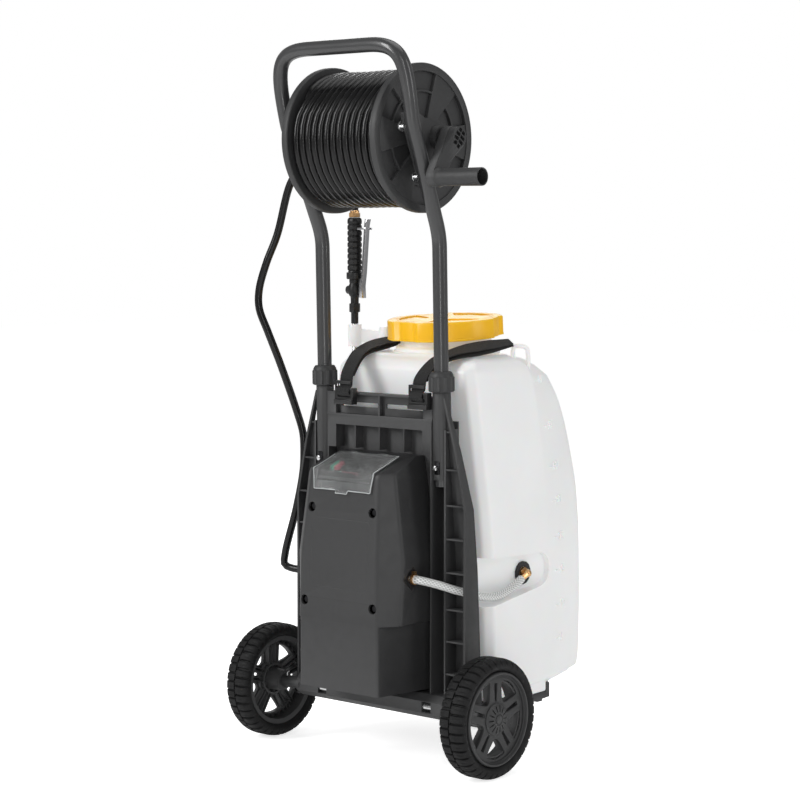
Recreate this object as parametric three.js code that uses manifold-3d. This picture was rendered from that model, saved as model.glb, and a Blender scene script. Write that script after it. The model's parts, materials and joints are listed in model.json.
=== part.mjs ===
// Wheeled sprayer cart: a moulded back frame on two wheels carries a tank, a battery pump box and
// a telescoping handle with a hose reel. Millimetres, +Z up, +X the crank side, +Y the tank side.
import * as THREE from "three";
import { ConvexGeometry } from "three/addons/geometries/ConvexGeometry.js";
import { mergeVertices } from "three/addons/utils/BufferGeometryUtils.js";
import Module from "manifold-3d";

const wasm = await Module();
wasm.setup();

// ---------------------------------------------------------------- driving dimensions
const GAP = 0.3; // clearance between touching pieces

const WHEEL_R = 89;
const WHEEL_WIDTH = 46.4;
const WHEEL_X = 217.3; // wheel centre plane
const RIM_R = 69.7;
const AXLE_R = 6;
const AXLE_Y = -12;
const HUB_CAP_R = 24;

const TUBE_R = 11;
const TUBE_X = 117.7; // uprights
const TUBE_LEAN = 0.024; // towards the user, per mm of height
const TUBE_ZERO_Z = 623; // height at which the uprights stand at y = 0
const TUBE_END_Z = 420;
const BEND = [TUBE_X, TUBE_LEAN * (TUBE_ZERO_Z - 790), 790];
const LEG_TOP = [124.4, -73, 955];
const BAR_Y = -94.8;
const BAR_Z = 1066.4;
const BAR_HALF = 58; // straight half of the grip bar

const FRAME_FRONT_Y = -7;
const FRAME_WALL = 4;
const PANEL_Y = 12; // front of the middle panel
const TROUGH_Y = 21.5; // floor of the channels that the lowered tubes run in
const SOCKET_R = 13.8;
const SOCKET_TOP_Z = 560;
const SOCKET_END_Z = 430;
const COLLAR_TOP_Z = 591;
const PIN_Z = 448;
const BEAM_TOP_Z = 108;
const FRAME_BOTTOM_Z = 71;
const SHELF_Z = 71.5;
const SHELF_TOP_Z = 83;
const HOSE_HOLE = [157, 262]; // x and z of the holes that the two hoses pass

const TANK_WALL = 4;
const TANK_BACK_Y = 352;
const GROOVE_X = 140; // floor of the tank's side groove
const NECK_Y = 150;
const NECK_TILT = THREE.MathUtils.degToRad(3.5); // the mouth faces slightly towards the user
const NECK_R = 71;
const MOUTH_R = 64;
const NECK_BASE_Z = 606;
const NECK_TOP_Z = 655;
const LID_R = 90.5;
const LUG = [120, 190];

const REEL_Y = -9.3;
const REEL_Z = 934;
const FLANGE_R = 110;
const FLANGE_X = 93.4;
const FLANGE_INNER_X = 82;
const DRUM_R = 69;
const COIL_R = 102;
const COIL_TURNS = 13;
const COIL_PITCH = 12.6;
const HOSE_R = 6;

const CRANK_Y = -45; // axis of the crank's grip
const CRANK_Z = 875;

const GUN_X = -176;
const GUN_Y = 134;
const CLIP_POST = [-131, 151];

const PORT_Y = -45.6;
const PORT_Z = 285;
const PORT_X = 100;

// The origin lies under the middle of the overall depth, from the reel's flange to the tank's back.
const DEPTH_CENTRE = (REEL_Y - FLANGE_R + TANK_BACK_Y) / 2;

// ---------------------------------------------------------------- shape helpers
const V = (x, y, z) => new THREE.Vector3(x, y, z);
const tubeY = (z) => TUBE_LEAN * (TUBE_ZERO_Z - z);

function toSolid(shape) {
  if (!shape.isBufferGeometry) return shape;
  const bare = new THREE.BufferGeometry();
  const loose = shape.index ? shape.toNonIndexed() : shape;
  bare.setAttribute("position", loose.getAttribute("position").clone());
  const merged = mergeVertices(bare, 1e-4);
  const mesh = new wasm.Mesh({
    numProp: 3,
    vertProperties: new Float32Array(merged.attributes.position.array),
    triVerts: new Uint32Array(merged.index.array),
  });
  return new wasm.Manifold(mesh);
}

const join = (...shapes) => shapes.map(toSolid).reduce((a, b) => a.add(b));
const cut = (shape, ...tools) => tools.map(toSolid).reduce((a, b) => a.subtract(b), toSolid(shape));

function toGeometry(shape) {
  if (shape.isBufferGeometry) return shape;
  const mesh = shape.getMesh();
  const geometry = new THREE.BufferGeometry();
  geometry.setAttribute("position", new THREE.BufferAttribute(mesh.vertProperties, 3));
  geometry.setIndex(new THREE.BufferAttribute(mesh.triVerts, 1));
  return geometry;
}

// A block between two corners.
function slab(x0, x1, y0, y1, z0, z1) {
  const geometry = new THREE.BoxGeometry(x1 - x0, y1 - y0, z1 - z0);
  return geometry.translate((x0 + x1) / 2, (y0 + y1) / 2, (z0 + z1) / 2);
}

// A round bar from one point to another, tapering if it is given a second radius.
function rod(from, to, radius, sides = 16, endRadius = radius) {
  const along = to.clone().sub(from);
  const geometry = new THREE.CylinderGeometry(endRadius, radius, along.length(), sides);
  const turn = new THREE.Quaternion().setFromUnitVectors(V(0, 1, 0), along.clone().normalize());
  geometry.applyQuaternion(turn);
  const middle = from.clone().add(to).multiplyScalar(0.5);
  return geometry.translate(middle.x, middle.y, middle.z);
}

// A turned body: the profile holds [radius, height] pairs and its axis runs through origin.
function turned(profile, sides, origin, axis) {
  const closed = [...profile, profile[0]].map(([r, h]) => new THREE.Vector2(r, h));
  const geometry = new THREE.LatheGeometry(closed, sides);
  const turn = new THREE.Quaternion().setFromUnitVectors(V(0, 1, 0), axis);
  geometry.applyQuaternion(turn);
  geometry.translate(origin.x, origin.y, origin.z);
  return upright(geometry);
}

// Turns a shell's faces outwards if its profile ran the other way.
function upright(geometry) {
  const p = geometry.getAttribute("position");
  const index = geometry.index;
  const [a, b, c] = [V(0, 0, 0), V(0, 0, 0), V(0, 0, 0)];
  let volume = 0;
  for (let i = 0; i < index.count; i += 3) {
    a.fromBufferAttribute(p, index.getX(i));
    b.fromBufferAttribute(p, index.getX(i + 1));
    c.fromBufferAttribute(p, index.getX(i + 2));
    volume += a.dot(b.cross(c));
  }
  if (volume > 0) return geometry;
  for (let i = 0; i < index.count; i += 3) {
    const second = index.getX(i + 1);
    index.setX(i + 1, index.getX(i + 2));
    index.setX(i + 2, second);
  }
  return geometry;
}

const hull = (points) => new ConvexGeometry(points);

// An outline of [a, b] pairs drawn in the XZ plane and pushed from y0 to y1.
function plateXZ(outline, y0, y1) {
  const shape = new THREE.Shape(outline.map(([x, z]) => new THREE.Vector2(x, z)));
  const geometry = new THREE.ExtrudeGeometry(shape, { depth: y1 - y0, bevelEnabled: false });
  return geometry.rotateX(Math.PI / 2).translate(0, y1, 0);
}

// An outline of [y, z] pairs pushed from x0 to x1.
function plateYZ(outline, x0, x1) {
  const shape = new THREE.Shape(outline.map(([y, z]) => new THREE.Vector2(y, z)));
  const geometry = new THREE.ExtrudeGeometry(shape, { depth: x1 - x0, bevelEnabled: false });
  return geometry.rotateY(Math.PI / 2).rotateX(Math.PI / 2).translate(x0, 0, 0);
}

// An outline of [x, y] pairs pushed from z0 to z1.
function plateXY(outline, z0, z1) {
  const shape = new THREE.Shape(outline.map(([x, y]) => new THREE.Vector2(x, y)));
  const geometry = new THREE.ExtrudeGeometry(shape, { depth: z1 - z0, bevelEnabled: false });
  return geometry.translate(0, 0, z0);
}

// A route through chosen points, with one ring of the swept tube at each.
class Route extends THREE.Curve {
  constructor(points) {
    super();
    this.points = points;
  }
  getPoint(t) {
    const place = t * (this.points.length - 1);
    const i = Math.min(Math.floor(place + 1e-9), this.points.length - 2);
    return this.points[i].clone().lerp(this.points[i + 1], place - i);
  }
  getPointAt(t) {
    return this.getPoint(t);
  }
  getTangentAt(t) {
    const i = Math.round(t * (this.points.length - 1));
    const before = this.points[Math.max(i - 1, 0)];
    const here = this.points[i];
    const after = this.points[Math.min(i + 1, this.points.length - 1)];
    const arriving = here.clone().sub(before).normalize();
    const leaving = after.clone().sub(here).normalize();
    return arriving.add(leaving).normalize();
  }
}

function disc(radius, sides) {
  const points = [];
  for (let i = 0; i < sides; i++) {
    const a = (2 * Math.PI * i) / sides;
    points.push(new THREE.Vector2(radius * Math.cos(a), radius * Math.sin(a)));
  }
  return points;
}

function tube(points, radius, sides, bore = 0) {
  const shape = new THREE.Shape(disc(radius, sides));
  if (bore > 0) shape.holes.push(new THREE.Path(disc(bore, sides)));
  const path = new Route(points);
  return new THREE.ExtrudeGeometry(shape, { steps: points.length - 1, extrudePath: path });
}

// A smooth line through a few hand-picked points, cut into steps.
function smooth(points, steps) {
  return new THREE.CatmullRomCurve3(points, false, "centripetal").getSpacedPoints(steps);
}

// A skin over stacked sections that all hold the same number of points, closed at both ends.
function loft(sections) {
  const count = sections[0].length;
  const points = sections.flat();
  const index = [];
  for (let s = 0; s < sections.length - 1; s++) {
    for (let i = 0; i < count; i++) {
      const a = s * count + i;
      const b = s * count + ((i + 1) % count);
      index.push(a, b, b + count, a, b + count, a + count);
    }
  }
  const top = (sections.length - 1) * count;
  for (let i = 1; i < count - 1; i++) {
    index.push(0, i + 1, i);
    index.push(top, top + i, top + i + 1);
  }
  const geometry = new THREE.BufferGeometry().setFromPoints(points);
  geometry.setIndex(index);
  return upright(geometry);
}

const mirrored = (outline) => [...outline, ...outline.map(([x, y]) => [-x, y]).reverse()];

// ---------------------------------------------------------------- the group and its materials
const cart = new THREE.Group();
cart.name = "sprayer_cart";
cart.position.y = -DEPTH_CENTRE;

const LOOKS = {
  dark_plastic: { color: 0x4a4b4d, roughness: 0.6 },
  black_plastic: { color: 0x1c1c1e, roughness: 0.55 },
  rubber: { color: 0x202021, roughness: 0.9 },
  grey_paint: { color: 0x55575a, roughness: 0.45, metalness: 0.3 },
  steel: { color: 0xc8cacc, roughness: 0.3, metalness: 1 },
  brass: { color: 0xb5883e, roughness: 0.35, metalness: 1 },
  natural_plastic: { color: 0xeef0ee, roughness: 0.5 },
  yellow_plastic: { color: 0xf2a90e, roughness: 0.45 },
  clear_plastic: { color: 0xdfe5e6, roughness: 0.2, transparent: true, opacity: 0.45 },
  hose: { color: 0x18181a, roughness: 0.5 },
  webbing: { color: 0x242426, roughness: 0.95 },
  green_board: { color: 0x2e6b45, roughness: 0.6 },
  red_plastic: { color: 0xb3262a, roughness: 0.5 },
  blue_case: { color: 0x2a4a78, roughness: 0.6 },
};

function add(name, shape, look) {
  const mesh = new THREE.Mesh(toGeometry(shape), new THREE.MeshStandardMaterial(LOOKS[look]));
  mesh.name = name;
  cart.add(mesh);
}

// Builds the same piece on both sides; side is +1 on the crank side and -1 on the other.
function onBothSides(build) {
  build(1, "right");
  build(-1, "left");
}

// ---------------------------------------------------------------- back frame
const FRAME_EDGE = [
  [130, 552],
  [152, 476],
  [170.5, 388],
  [171.4, 297],
  [171, FRAME_BOTTOM_Z],
]; // outer edge of the side walls, [x, z]
const RIB_Z = [502, 446, 393, 343, 293, 238, 190, 141];
const wallBackY = (z) => Math.min(-2 + (552 - z) * 0.09, 33.5);
const stripBackY = (z) => Math.min(wallBackY(z), TROUGH_Y);

function edgeX(z) {
  for (let i = 0; i < FRAME_EDGE.length - 1; i++) {
    const [x0, z0] = FRAME_EDGE[i];
    const [x1, z1] = FRAME_EDGE[i + 1];
    if (z <= z0 && z >= z1) return x0 + ((x1 - x0) * (z0 - z)) / (z0 - z1);
  }
  return FRAME_EDGE[0][0];
}

function sideWall(side) {
  const pieces = [];
  for (let i = 0; i < FRAME_EDGE.length - 1; i++) {
    const corners = [];
    for (const [x, z] of [FRAME_EDGE[i], FRAME_EDGE[i + 1]]) {
      for (const inset of [0, FRAME_WALL]) {
        corners.push(V(side * (x - inset), FRAME_FRONT_Y, z));
        corners.push(V(side * (x - inset), wallBackY(z), z));
      }
    }
    pieces.push(hull(corners));
  }
  return pieces;
}

// The thin panel between a channel and the side wall; it follows the wall's slanted back edge.
function outerStrip(side) {
  const heights = [504, 388, 300, BEAM_TOP_Z - 4];
  return heights.slice(1).map((low, i) => {
    const corners = [];
    for (const z of [heights[i], low]) {
      for (const x of [131, edgeX(z) - 2]) {
        corners.push(V(side * x, stripBackY(z), z), V(side * x, stripBackY(z) - 2.5, z));
      }
    }
    return hull(corners);
  });
}

const tubeAt = (side, z) => V(side * TUBE_X, tubeY(z), z);
const spanX = (side, near, far) => (side > 0 ? [near, far] : [-far, -near]);

function frameSide(side) {
  const pieces = [...sideWall(side), ...outerStrip(side)];
  pieces.push(rod(tubeAt(side, SOCKET_END_Z), tubeAt(side, SOCKET_TOP_Z), SOCKET_R, 20));
  // the trough behind the tube and its two thin walls
  const [floorA, floorB] = spanX(side, 102.5, 132.5);
  pieces.push(slab(floorA, floorB, TROUGH_Y, TROUGH_Y + 2.5, BEAM_TOP_Z - 4, 516));
  const [inA, inB] = spanX(side, 102.5, 105);
  pieces.push(slab(inA, inB, FRAME_FRONT_Y, TROUGH_Y + 1, BEAM_TOP_Z - 4, 516));
  const [outA, outB] = spanX(side, 130, 132.5);
  pieces.push(slab(outA, outB, FRAME_FRONT_Y, TROUGH_Y + 1, BEAM_TOP_Z - 4, 505));
  // cross ribs out to the side wall, and short ones in towards the pump box
  for (const z of RIB_Z) {
    const [a, b] = spanX(side, 131, edgeX(z) - 2);
    pieces.push(slab(a, b, FRAME_FRONT_Y + 1.5, stripBackY(z) - 1, z - 1.25, z + 1.25));
    const [c, d] = spanX(side, 101, 104);
    if (z < 450) pieces.push(slab(c, d, FRAME_FRONT_Y + 1.5, PANEL_Y + 1, z - 1.25, z + 1.25));
  }
  // end posts of the top crossbar, which grip the socket
  const [p, q] = spanX(side, 88, 106);
  pieces.push(slab(p, q, FRAME_FRONT_Y + 1, 12, 516, 551));
  return pieces;
}

function frameSideCuts(side) {
  const bore = rod(tubeAt(side, SOCKET_END_Z - 15), tubeAt(side, SOCKET_TOP_Z + 10), TUBE_R + 0.35, 20);
  const x0 = side * TUBE_X;
  const pinWindow = slab(x0 - 5, x0 + 5, -20, tubeY(PIN_Z), PIN_Z - 10, PIN_Z + 10);
  const [a, b] = spanX(side, 8, 84);
  const longSlot = slab(a, b, -10, 16, 530, 536.5);
  const [c, d] = spanX(side, 97, 115);
  const axleWindow = slab(c, d, -30, AXLE_Y, 81, 97);
  const [e, f] = spanX(side, 4, 90);
  const underPocket = slab(e, f, 2, 29, FRAME_BOTTOM_Z - 1, BEAM_TOP_Z - 5);
  const [holeX, holeZ] = HOSE_HOLE;
  const hoseHole = rod(V(side * holeX, 8, holeZ), V(side * holeX, 30, holeZ), 9, 12);
  return [bore, pinWindow, longSlot, axleWindow, underPocket, hoseHole];
}

function backFrame() {
  const middle = slab(-104, 104, PANEL_Y, PANEL_Y + 3, BEAM_TOP_Z - 4, 518);
  const pieces = [middle, ...frameSide(1), ...frameSide(-1)];
  // top crossbar: two flanges, a web with two long slots, and a middle rib
  const top = 552;
  const low = 516;
  pieces.push(slab(-106, 106, FRAME_FRONT_Y, 12, top - 3, top));
  pieces.push(slab(-106, 106, FRAME_FRONT_Y, PANEL_Y + 2, low, low + 3));
  pieces.push(slab(-106, 106, 2, 5, low, top));
  pieces.push(slab(-1.5, 1.5, FRAME_FRONT_Y + 1, 10, low, top));
  // flat border round the shallow bay above the pump box, and the bay's ribs
  pieces.push(slab(-104, 104, FRAME_FRONT_Y, FRAME_FRONT_Y + 3, 502, low + 1));
  for (const side of [1, -1]) {
    const [a, b] = spanX(side, 87, 104);
    pieces.push(slab(a, b, FRAME_FRONT_Y, FRAME_FRONT_Y + 3, 467, 504));
    const [c, d] = spanX(side, 87, 90);
    pieces.push(slab(c, d, FRAME_FRONT_Y + 1, PANEL_Y + 1, 467, 503));
  }
  for (const x of [-49, 0, 49]) {
    pieces.push(slab(x - 1.25, x + 1.25, FRAME_FRONT_Y + 2, PANEL_Y + 1, 467, 503));
  }
  // bottom beam, with a housing round the axle along its front
  const beam = [
    [FRAME_FRONT_Y, FRAME_BOTTOM_Z],
    [-20, 80],
    [-20, 98],
    [-11, BEAM_TOP_Z],
    [33.5, BEAM_TOP_Z],
    [33.5, FRAME_BOTTOM_Z],
  ];
  pieces.push(plateYZ(beam, -160, 160));
  const sleeve = (side) => rod(V(side * 155, AXLE_Y, WHEEL_R), V(side * 194.4, AXLE_Y, WHEEL_R), 9.6, 16);
  pieces.push(sleeve(1), sleeve(-1));
  const tubeBores = [1, -1].flatMap((side) => frameSideCuts(side));
  const axleBore = rod(V(-200, AXLE_Y, WHEEL_R), V(200, AXLE_Y, WHEEL_R), AXLE_R + GAP, 16);
  return cut(join(...pieces), ...tubeBores, axleBore);
}
add("back_frame", backFrame(), "dark_plastic");

// ---------------------------------------------------------------- shelf and stand
function tankShelf() {
  const outline = [
    [171, 34],
    [145, 232],
    [108, 262],
  ];
  const plate = plateXY(mirrored(outline), SHELF_Z, SHELF_TOP_Z);
  const lips = [1, -1].map((s) =>
    hull(
      [SHELF_TOP_Z - 3, 93.6].flatMap((z) => [
        V(s * 147.5, 219, z),
        V(s * 144, 219, z),
        V(s * 145, 232, z),
        V(s * 134, 241, z),
        V(s * 132, 238, z),
      ]),
    ),
  );
  const bumps = [1, -1].map((s) => slab(s * 143 - 4, s * 143 + 4, 199, 211, SHELF_Z - 3.5, SHELF_Z + 1));
  return join(plate, ...lips, ...bumps);
}
add("tank_shelf", tankShelf(), "dark_plastic");

function standLeg() {
  const posts = [1, -1].map((s) => slab(s * 46 - 6, s * 46 + 6, 234, 246, 6, SHELF_Z - GAP));
  return join(...posts, slab(-55, 55, 231, 249, 0, 10));
}
add("stand_leg", standLeg(), "grey_paint");

// ---------------------------------------------------------------- axle and wheels
add("axle", rod(V(-238, AXLE_Y, WHEEL_R), V(238, AXLE_Y, WHEEL_R), AXLE_R, 16), "steel");

function tyre(side) {
  const half = WHEEL_WIDTH / 2;
  const profile = [
    [RIM_R + GAP, -half + 6],
    [WHEEL_R - 10, -half],
    [WHEEL_R - 1.5, -half + 6],
    [WHEEL_R, -half + 12],
    [WHEEL_R, half - 12],
    [WHEEL_R - 1.5, half - 6],
    [WHEEL_R - 10, half],
    [RIM_R + GAP, half - 6],
  ];
  const centre = V(side * WHEEL_X, AXLE_Y, WHEEL_R);
  const body = turned(profile, 28, centre, V(side, 0, 0));
  const grooves = [];
  for (let i = 0; i < 12; i++) {
    const groove = slab(-30, 30, -2.5, 2.5, WHEEL_R - 4, WHEEL_R + 4);
    groove.rotateX((2 * Math.PI * (i + 0.5)) / 12);
    grooves.push(groove.translate(centre.x, centre.y, centre.z));
  }
  return cut(body, ...grooves);
}

function rim(side) {
  const centre = V(side * WHEEL_X, AXLE_Y, WHEEL_R);
  const half = WHEEL_WIDTH / 2;
  const barrel = [
    [RIM_R - 7, -half + 8],
    [RIM_R, -half + 6.3],
    [RIM_R, half - 6.3],
    [RIM_R - 1, half - 1],
    [RIM_R - 7, half - 3],
  ];
  const hub = [
    [AXLE_R + 0.3, -half + 1],
    [16, -half + 1],
    [19, half - 8],
    [AXLE_R + 0.3, half - 8],
  ];
  const pieces = [turned(barrel, 28, centre, V(side, 0, 0)), turned(hub, 12, centre, V(side, 0, 0))];
  // five pairs of deep spokes; spread turns a block drawn upwards to its place round the axle
  const spread = (shape, angle) => {
    shape.rotateX(angle);
    if (side < 0) shape.rotateZ(Math.PI);
    pieces.push(shape.translate(centre.x, centre.y, centre.z));
  };
  for (let pair = 0; pair < 5; pair++) {
    for (const lean of [-1, 1]) {
      const spoke = slab(half - 22, half - 7.5, lean * 9 - 3.5, lean * 9 + 3.5, 12, RIM_R - 4);
      spread(spoke, (2 * Math.PI * pair) / 5 + lean * 0.06);
    }
  }
  // two rings tie the spokes together on the inner side, and short ribs join the outer one to the barrel
  for (const [inner, outer, depth] of [
    [22, 25, 24],
    [55, 57.5, 20],
  ]) {
    const ring = [
      [inner, half - depth],
      [outer, half - depth],
      [outer, half - 9],
      [inner, half - 9],
    ];
    pieces.push(turned(ring, 20, centre, V(side, 0, 0)));
  }
  for (let i = 0; i < 10; i++) {
    spread(slab(half - 20, half - 14, -1.1, 1.1, 56, RIM_R - 4), (2 * Math.PI * (i + 0.5)) / 10);
  }
  const bore = rod(V(side * 180, AXLE_Y, WHEEL_R), V(side * 260, AXLE_Y, WHEEL_R), AXLE_R + 0.3, 20);
  return cut(join(...pieces), bore);
}

function hubCap(side) {
  const cap = [
    [0, 0],
    [HUB_CAP_R, 0],
    [HUB_CAP_R - 0.8, 1.8],
    [18, 4.4],
    [8, 6.6],
    [0, 7],
  ];
  const place = V(side * (WHEEL_X + WHEEL_WIDTH / 2 - 7.5 + GAP), AXLE_Y, WHEEL_R);
  const dome = turned(cap, 20, place, V(side, 0, 0));
  return cut(dome, rod(V(0, AXLE_Y, WHEEL_R), V(side * 238.4, AXLE_Y, WHEEL_R), AXLE_R + 0.3, 20));
}

onBothSides((side, word) => {
  add(`tyre_${word}`, tyre(side), "rubber");
  add(`rim_${word}`, rim(side), "dark_plastic");
  add(`hub_cap_${word}`, hubCap(side), "dark_plastic");
});

// ---------------------------------------------------------------- tank
// Half outlines of the tank, as [x, y] from the front middle round to the back middle.
function tankOutline([z, front, cornerX, creaseX, creaseY, backX, backY], inset = 0) {
  const half = [
    [60, front + inset],
    [cornerX - 14, front + inset],
    [cornerX - inset, front + 12],
    [creaseX - inset, creaseY],
    [backX - inset, backY - inset],
    [backX - 18, backY + 4 - inset],
    [50, backY + 5 - inset],
  ];
  return mirrored(half).map(([x, y]) => V(x, y, z));
}

const TANK_LEVELS = [
  // height, front y, corner x, crease x and y, back x and y
  [94, 53, 166, 141, 225, 108, 330],
  [104, 45, 175, 148, 231, 117, 341],
  [128, 45, 177, 148, 232, 118, TANK_BACK_Y - 7],
  [214, 45, 176, 148, 231, 118, TANK_BACK_Y - 5],
  [327, 45, 173, 148, 225, 118, 344],
  [388, 45, 166, 147, 219, 118, 337],
  [436, 45, 159, 146, 214, 117, 326],
  [494, 45, 151, 144, 206, 115, 310],
  [535, 45, 145.5, 142, 200, 113, 293],
  [571, 45, 140, 140, 192, 108, 272],
  [588, 46, 137.5, 136, 184, 100, 250],
  [600, 55, 128, 128, 174, 90, 228],
  [609, 68, 112, 112, 165, 78, 192],
];

// The mouth's own axis: everything round it is built upright and then tipped towards the user.
function tipped(geometry) {
  geometry.translate(0, -NECK_Y, -NECK_TOP_Z);
  geometry.rotateX(NECK_TILT);
  return geometry.translate(0, NECK_Y, NECK_TOP_Z);
}

const aroundMouth = (profile, sides) => tipped(turned(profile, sides, V(0, NECK_Y, 0), V(0, 0, 1)));

// The side groove that shelters the suction hose, grown by an allowance for the wall round it.
function sideGroove(grow) {
  const outline = [
    [20, 236 - grow],
    [20, 313 + grow],
    [196, 303 + grow],
  ];
  for (let i = 1; i < 6; i++) {
    const a = Math.PI / 2 - (Math.PI * i) / 6;
    outline.push([200 + (25 + grow) * Math.cos(a), 277 + (25 + grow) * Math.sin(a)]);
  }
  outline.push([196, 251 - grow]);
  return plateYZ(outline, GROOVE_X - grow, 200);
}

function lugs() {
  const [x, y] = LUG;
  return [1, -1].flatMap((s) => {
    const inner = V(s * (x - 9), y - 10, 590);
    const outer = V(s * (x + 7), y + 6, 574);
    const tops = [inner.clone().setZ(620), outer.clone().setZ(617)];
    return [rod(inner, tops[0], 3.2, 8), rod(outer, tops[1], 3.2, 8), rod(tops[0], tops[1], 3.6, 8)];
  });
}

function tank() {
  const outer = loft(TANK_LEVELS.map((level) => tankOutline(level)));
  const feet = [1, -1].map((s) =>
    hull(
      [SHELF_TOP_Z + GAP, 130].flatMap((z) => [
        V(s * 153, 173, z),
        V(s * 149.5, 216, z),
        V(s * 118, 216, z),
        V(s * 118, 173, z),
      ]),
    ),
  );
  const rests = [
    slab(-60, 60, 70, 100, SHELF_TOP_Z + GAP, 97),
    slab(-60, 60, 225, 255, SHELF_TOP_Z + GAP, 97),
  ];
  const [postX, postY] = CLIP_POST;
  const peg = rod(V(postX + 6, postY, 578), V(postX + 6, postY, 612), 7, 12);
  const neck = aroundMouth(
    [
      [MOUTH_R, NECK_BASE_Z - 20],
      [NECK_R + 8, NECK_BASE_Z - 20],
      [NECK_R + 8, NECK_BASE_Z + 8],
      [NECK_R, NECK_BASE_Z + 14],
      [NECK_R, NECK_TOP_Z - 24],
      [NECK_R - 2.5, NECK_TOP_Z - 22],
      [NECK_R - 2.5, NECK_TOP_Z],
      [MOUTH_R, NECK_TOP_Z],
    ],
    24,
  );
  const inside = loft(
    TANK_LEVELS.map((level, i) => {
      const [z, ...rest] = level;
      const lift = i === 0 ? TANK_WALL : i === TANK_LEVELS.length - 1 ? -TANK_WALL : 0;
      return tankOutline([z + lift, ...rest], TANK_WALL);
    }),
  );
  const mouth = aroundMouth(
    [
      [0, NECK_BASE_Z - 30],
      [MOUTH_R, NECK_BASE_Z - 30],
      [MOUTH_R, NECK_TOP_Z + 10],
      [0, NECK_TOP_Z + 10],
    ],
    24,
  );
  const hollow = cut(inside, sideGroove(TANK_WALL));
  const shell = cut(join(outer, ...feet, ...rests, neck), hollow, mouth, sideGroove(0));
  return join(shell, peg, ...lugs());
}
add("tank", tank(), "natural_plastic");

add(
  "mouth_strainer",
  aroundMouth(
    [
      [0, 598],
      [50, 598],
      [58, NECK_TOP_Z + GAP],
      [NECK_R - 3, NECK_TOP_Z + GAP],
      [NECK_R - 3, NECK_TOP_Z + 1.8],
      [56, NECK_TOP_Z + 1.8],
      [48.3, 600],
      [0, 600],
    ],
    24,
  ),
  "natural_plastic",
);
add(
  "lid_seal",
  aroundMouth(
    [
      [61, NECK_TOP_Z + 2.1],
      [NECK_R - 3, NECK_TOP_Z + 2.1],
      [NECK_R - 3, NECK_TOP_Z + 4.1],
      [61, NECK_TOP_Z + 4.1],
    ],
    24,
  ),
  "rubber",
);

const LOBES = 3;
const lobeMiddle = (i) => THREE.MathUtils.degToRad(-36.4 + (360 * i) / LOBES);

function lid() {
  const outline = [];
  const half = THREE.MathUtils.degToRad(42.5);
  const gap = (2 * Math.PI) / LOBES - 2 * half;
  const around = (r, a) => [r * Math.cos(a), NECK_Y + r * Math.sin(a)];
  for (let i = 0; i < LOBES; i++) {
    for (let k = 0; k <= 6; k++) outline.push(around(LID_R, lobeMiddle(i) - half + (2 * half * k) / 6));
    for (const step of [0.2, 0.8]) outline.push(around(LID_R - 6.5, lobeMiddle(i) + half + step * gap));
  }
  const body = tipped(plateXY(outline, NECK_TOP_Z - 22, NECK_TOP_Z + 8));
  const inside = aroundMouth(
    [
      [0, NECK_TOP_Z - 30],
      [NECK_R + GAP, NECK_TOP_Z - 30],
      [NECK_R + GAP, NECK_TOP_Z + 4.4],
      [0, NECK_TOP_Z + 4.4],
    ],
    24,
  );
  // three finger pockets in the top, with grip bars between them
  const pockets = [];
  for (let i = 0; i < LOBES; i++) {
    const pocket = [around(20, lobeMiddle(i))];
    for (let k = 0; k <= 4; k++) pocket.push(around(74, lobeMiddle(i) - 0.7 + 0.35 * k));
    pockets.push(tipped(plateXY(pocket, NECK_TOP_Z + 5.9, NECK_TOP_Z + 20)));
  }
  return cut(body, inside, ...pockets);
}
add("lid", lid(), "yellow_plastic");

// ---------------------------------------------------------------- lance clip on the tank
function lanceClip() {
  const [postX, postY] = CLIP_POST;
  const at = (z) => V(GUN_X, GUN_Y, z);
  const sleeve = cut(
    rod(at(613), at(648), 10.8, 16),
    rod(at(600), at(660), 6.8, 16),
    slab(GUN_X - 20, GUN_X - 2, GUN_Y - 5.2, GUN_Y + 5.2, 600, 660),
  );
  const boss = rod(V(postX + 6, postY, 612 + GAP), V(postX + 6, postY, 645), 10, 16);
  const arm = hull(
    [
      [GUN_X + 8, GUN_Y + 3, 618, 642],
      [postX - 1, postY - 2, 621, 637],
    ].flatMap(([x, y, low, high]) => [
      V(x, y - 2, low),
      V(x, y + 2, low),
      V(x, y - 2, high),
      V(x, y + 2, high),
    ]),
  );
  return join(sleeve, boss, arm);
}
add("lance_clip", lanceClip(), "natural_plastic");

// ---------------------------------------------------------------- tank straps and buckles
// The buckles sit off centre on the crossbar: [x of the buckle] for the right and the left strap.
const BUCKLE_X = { right: 87.5, left: -61.5 };

// The webbing runs from its buckle over the tank's front edge and back to the lug.
const STRAP_LINE = {
  right: [
    V(84.5, -12, 562),
    V(84.5, -8, 578),
    V(86, 22, 603),
    V(96, 50, 615),
    V(105, 100, 623),
    V(113, 172, 628),
  ],
  left: [
    V(-61.5, -12, 562),
    V(-63, -8, 578),
    V(-74, 22, 603),
    V(-84, 50, 614),
    V(-93, 98, 623),
    V(-104, 172, 627),
  ],
};
const STRAP_HALF = [12.5, 12.5, 12.5, 12.5, 10, 7]; // half widths along it
// The webbing twists as it nears the lug, so that its right-hand edge hangs lower, in degrees.
const STRAP_TWIST = { right: [0, 0, 6, 24, 34, 34], left: [0, 0, 4, 14, 24, 30] };

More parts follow.
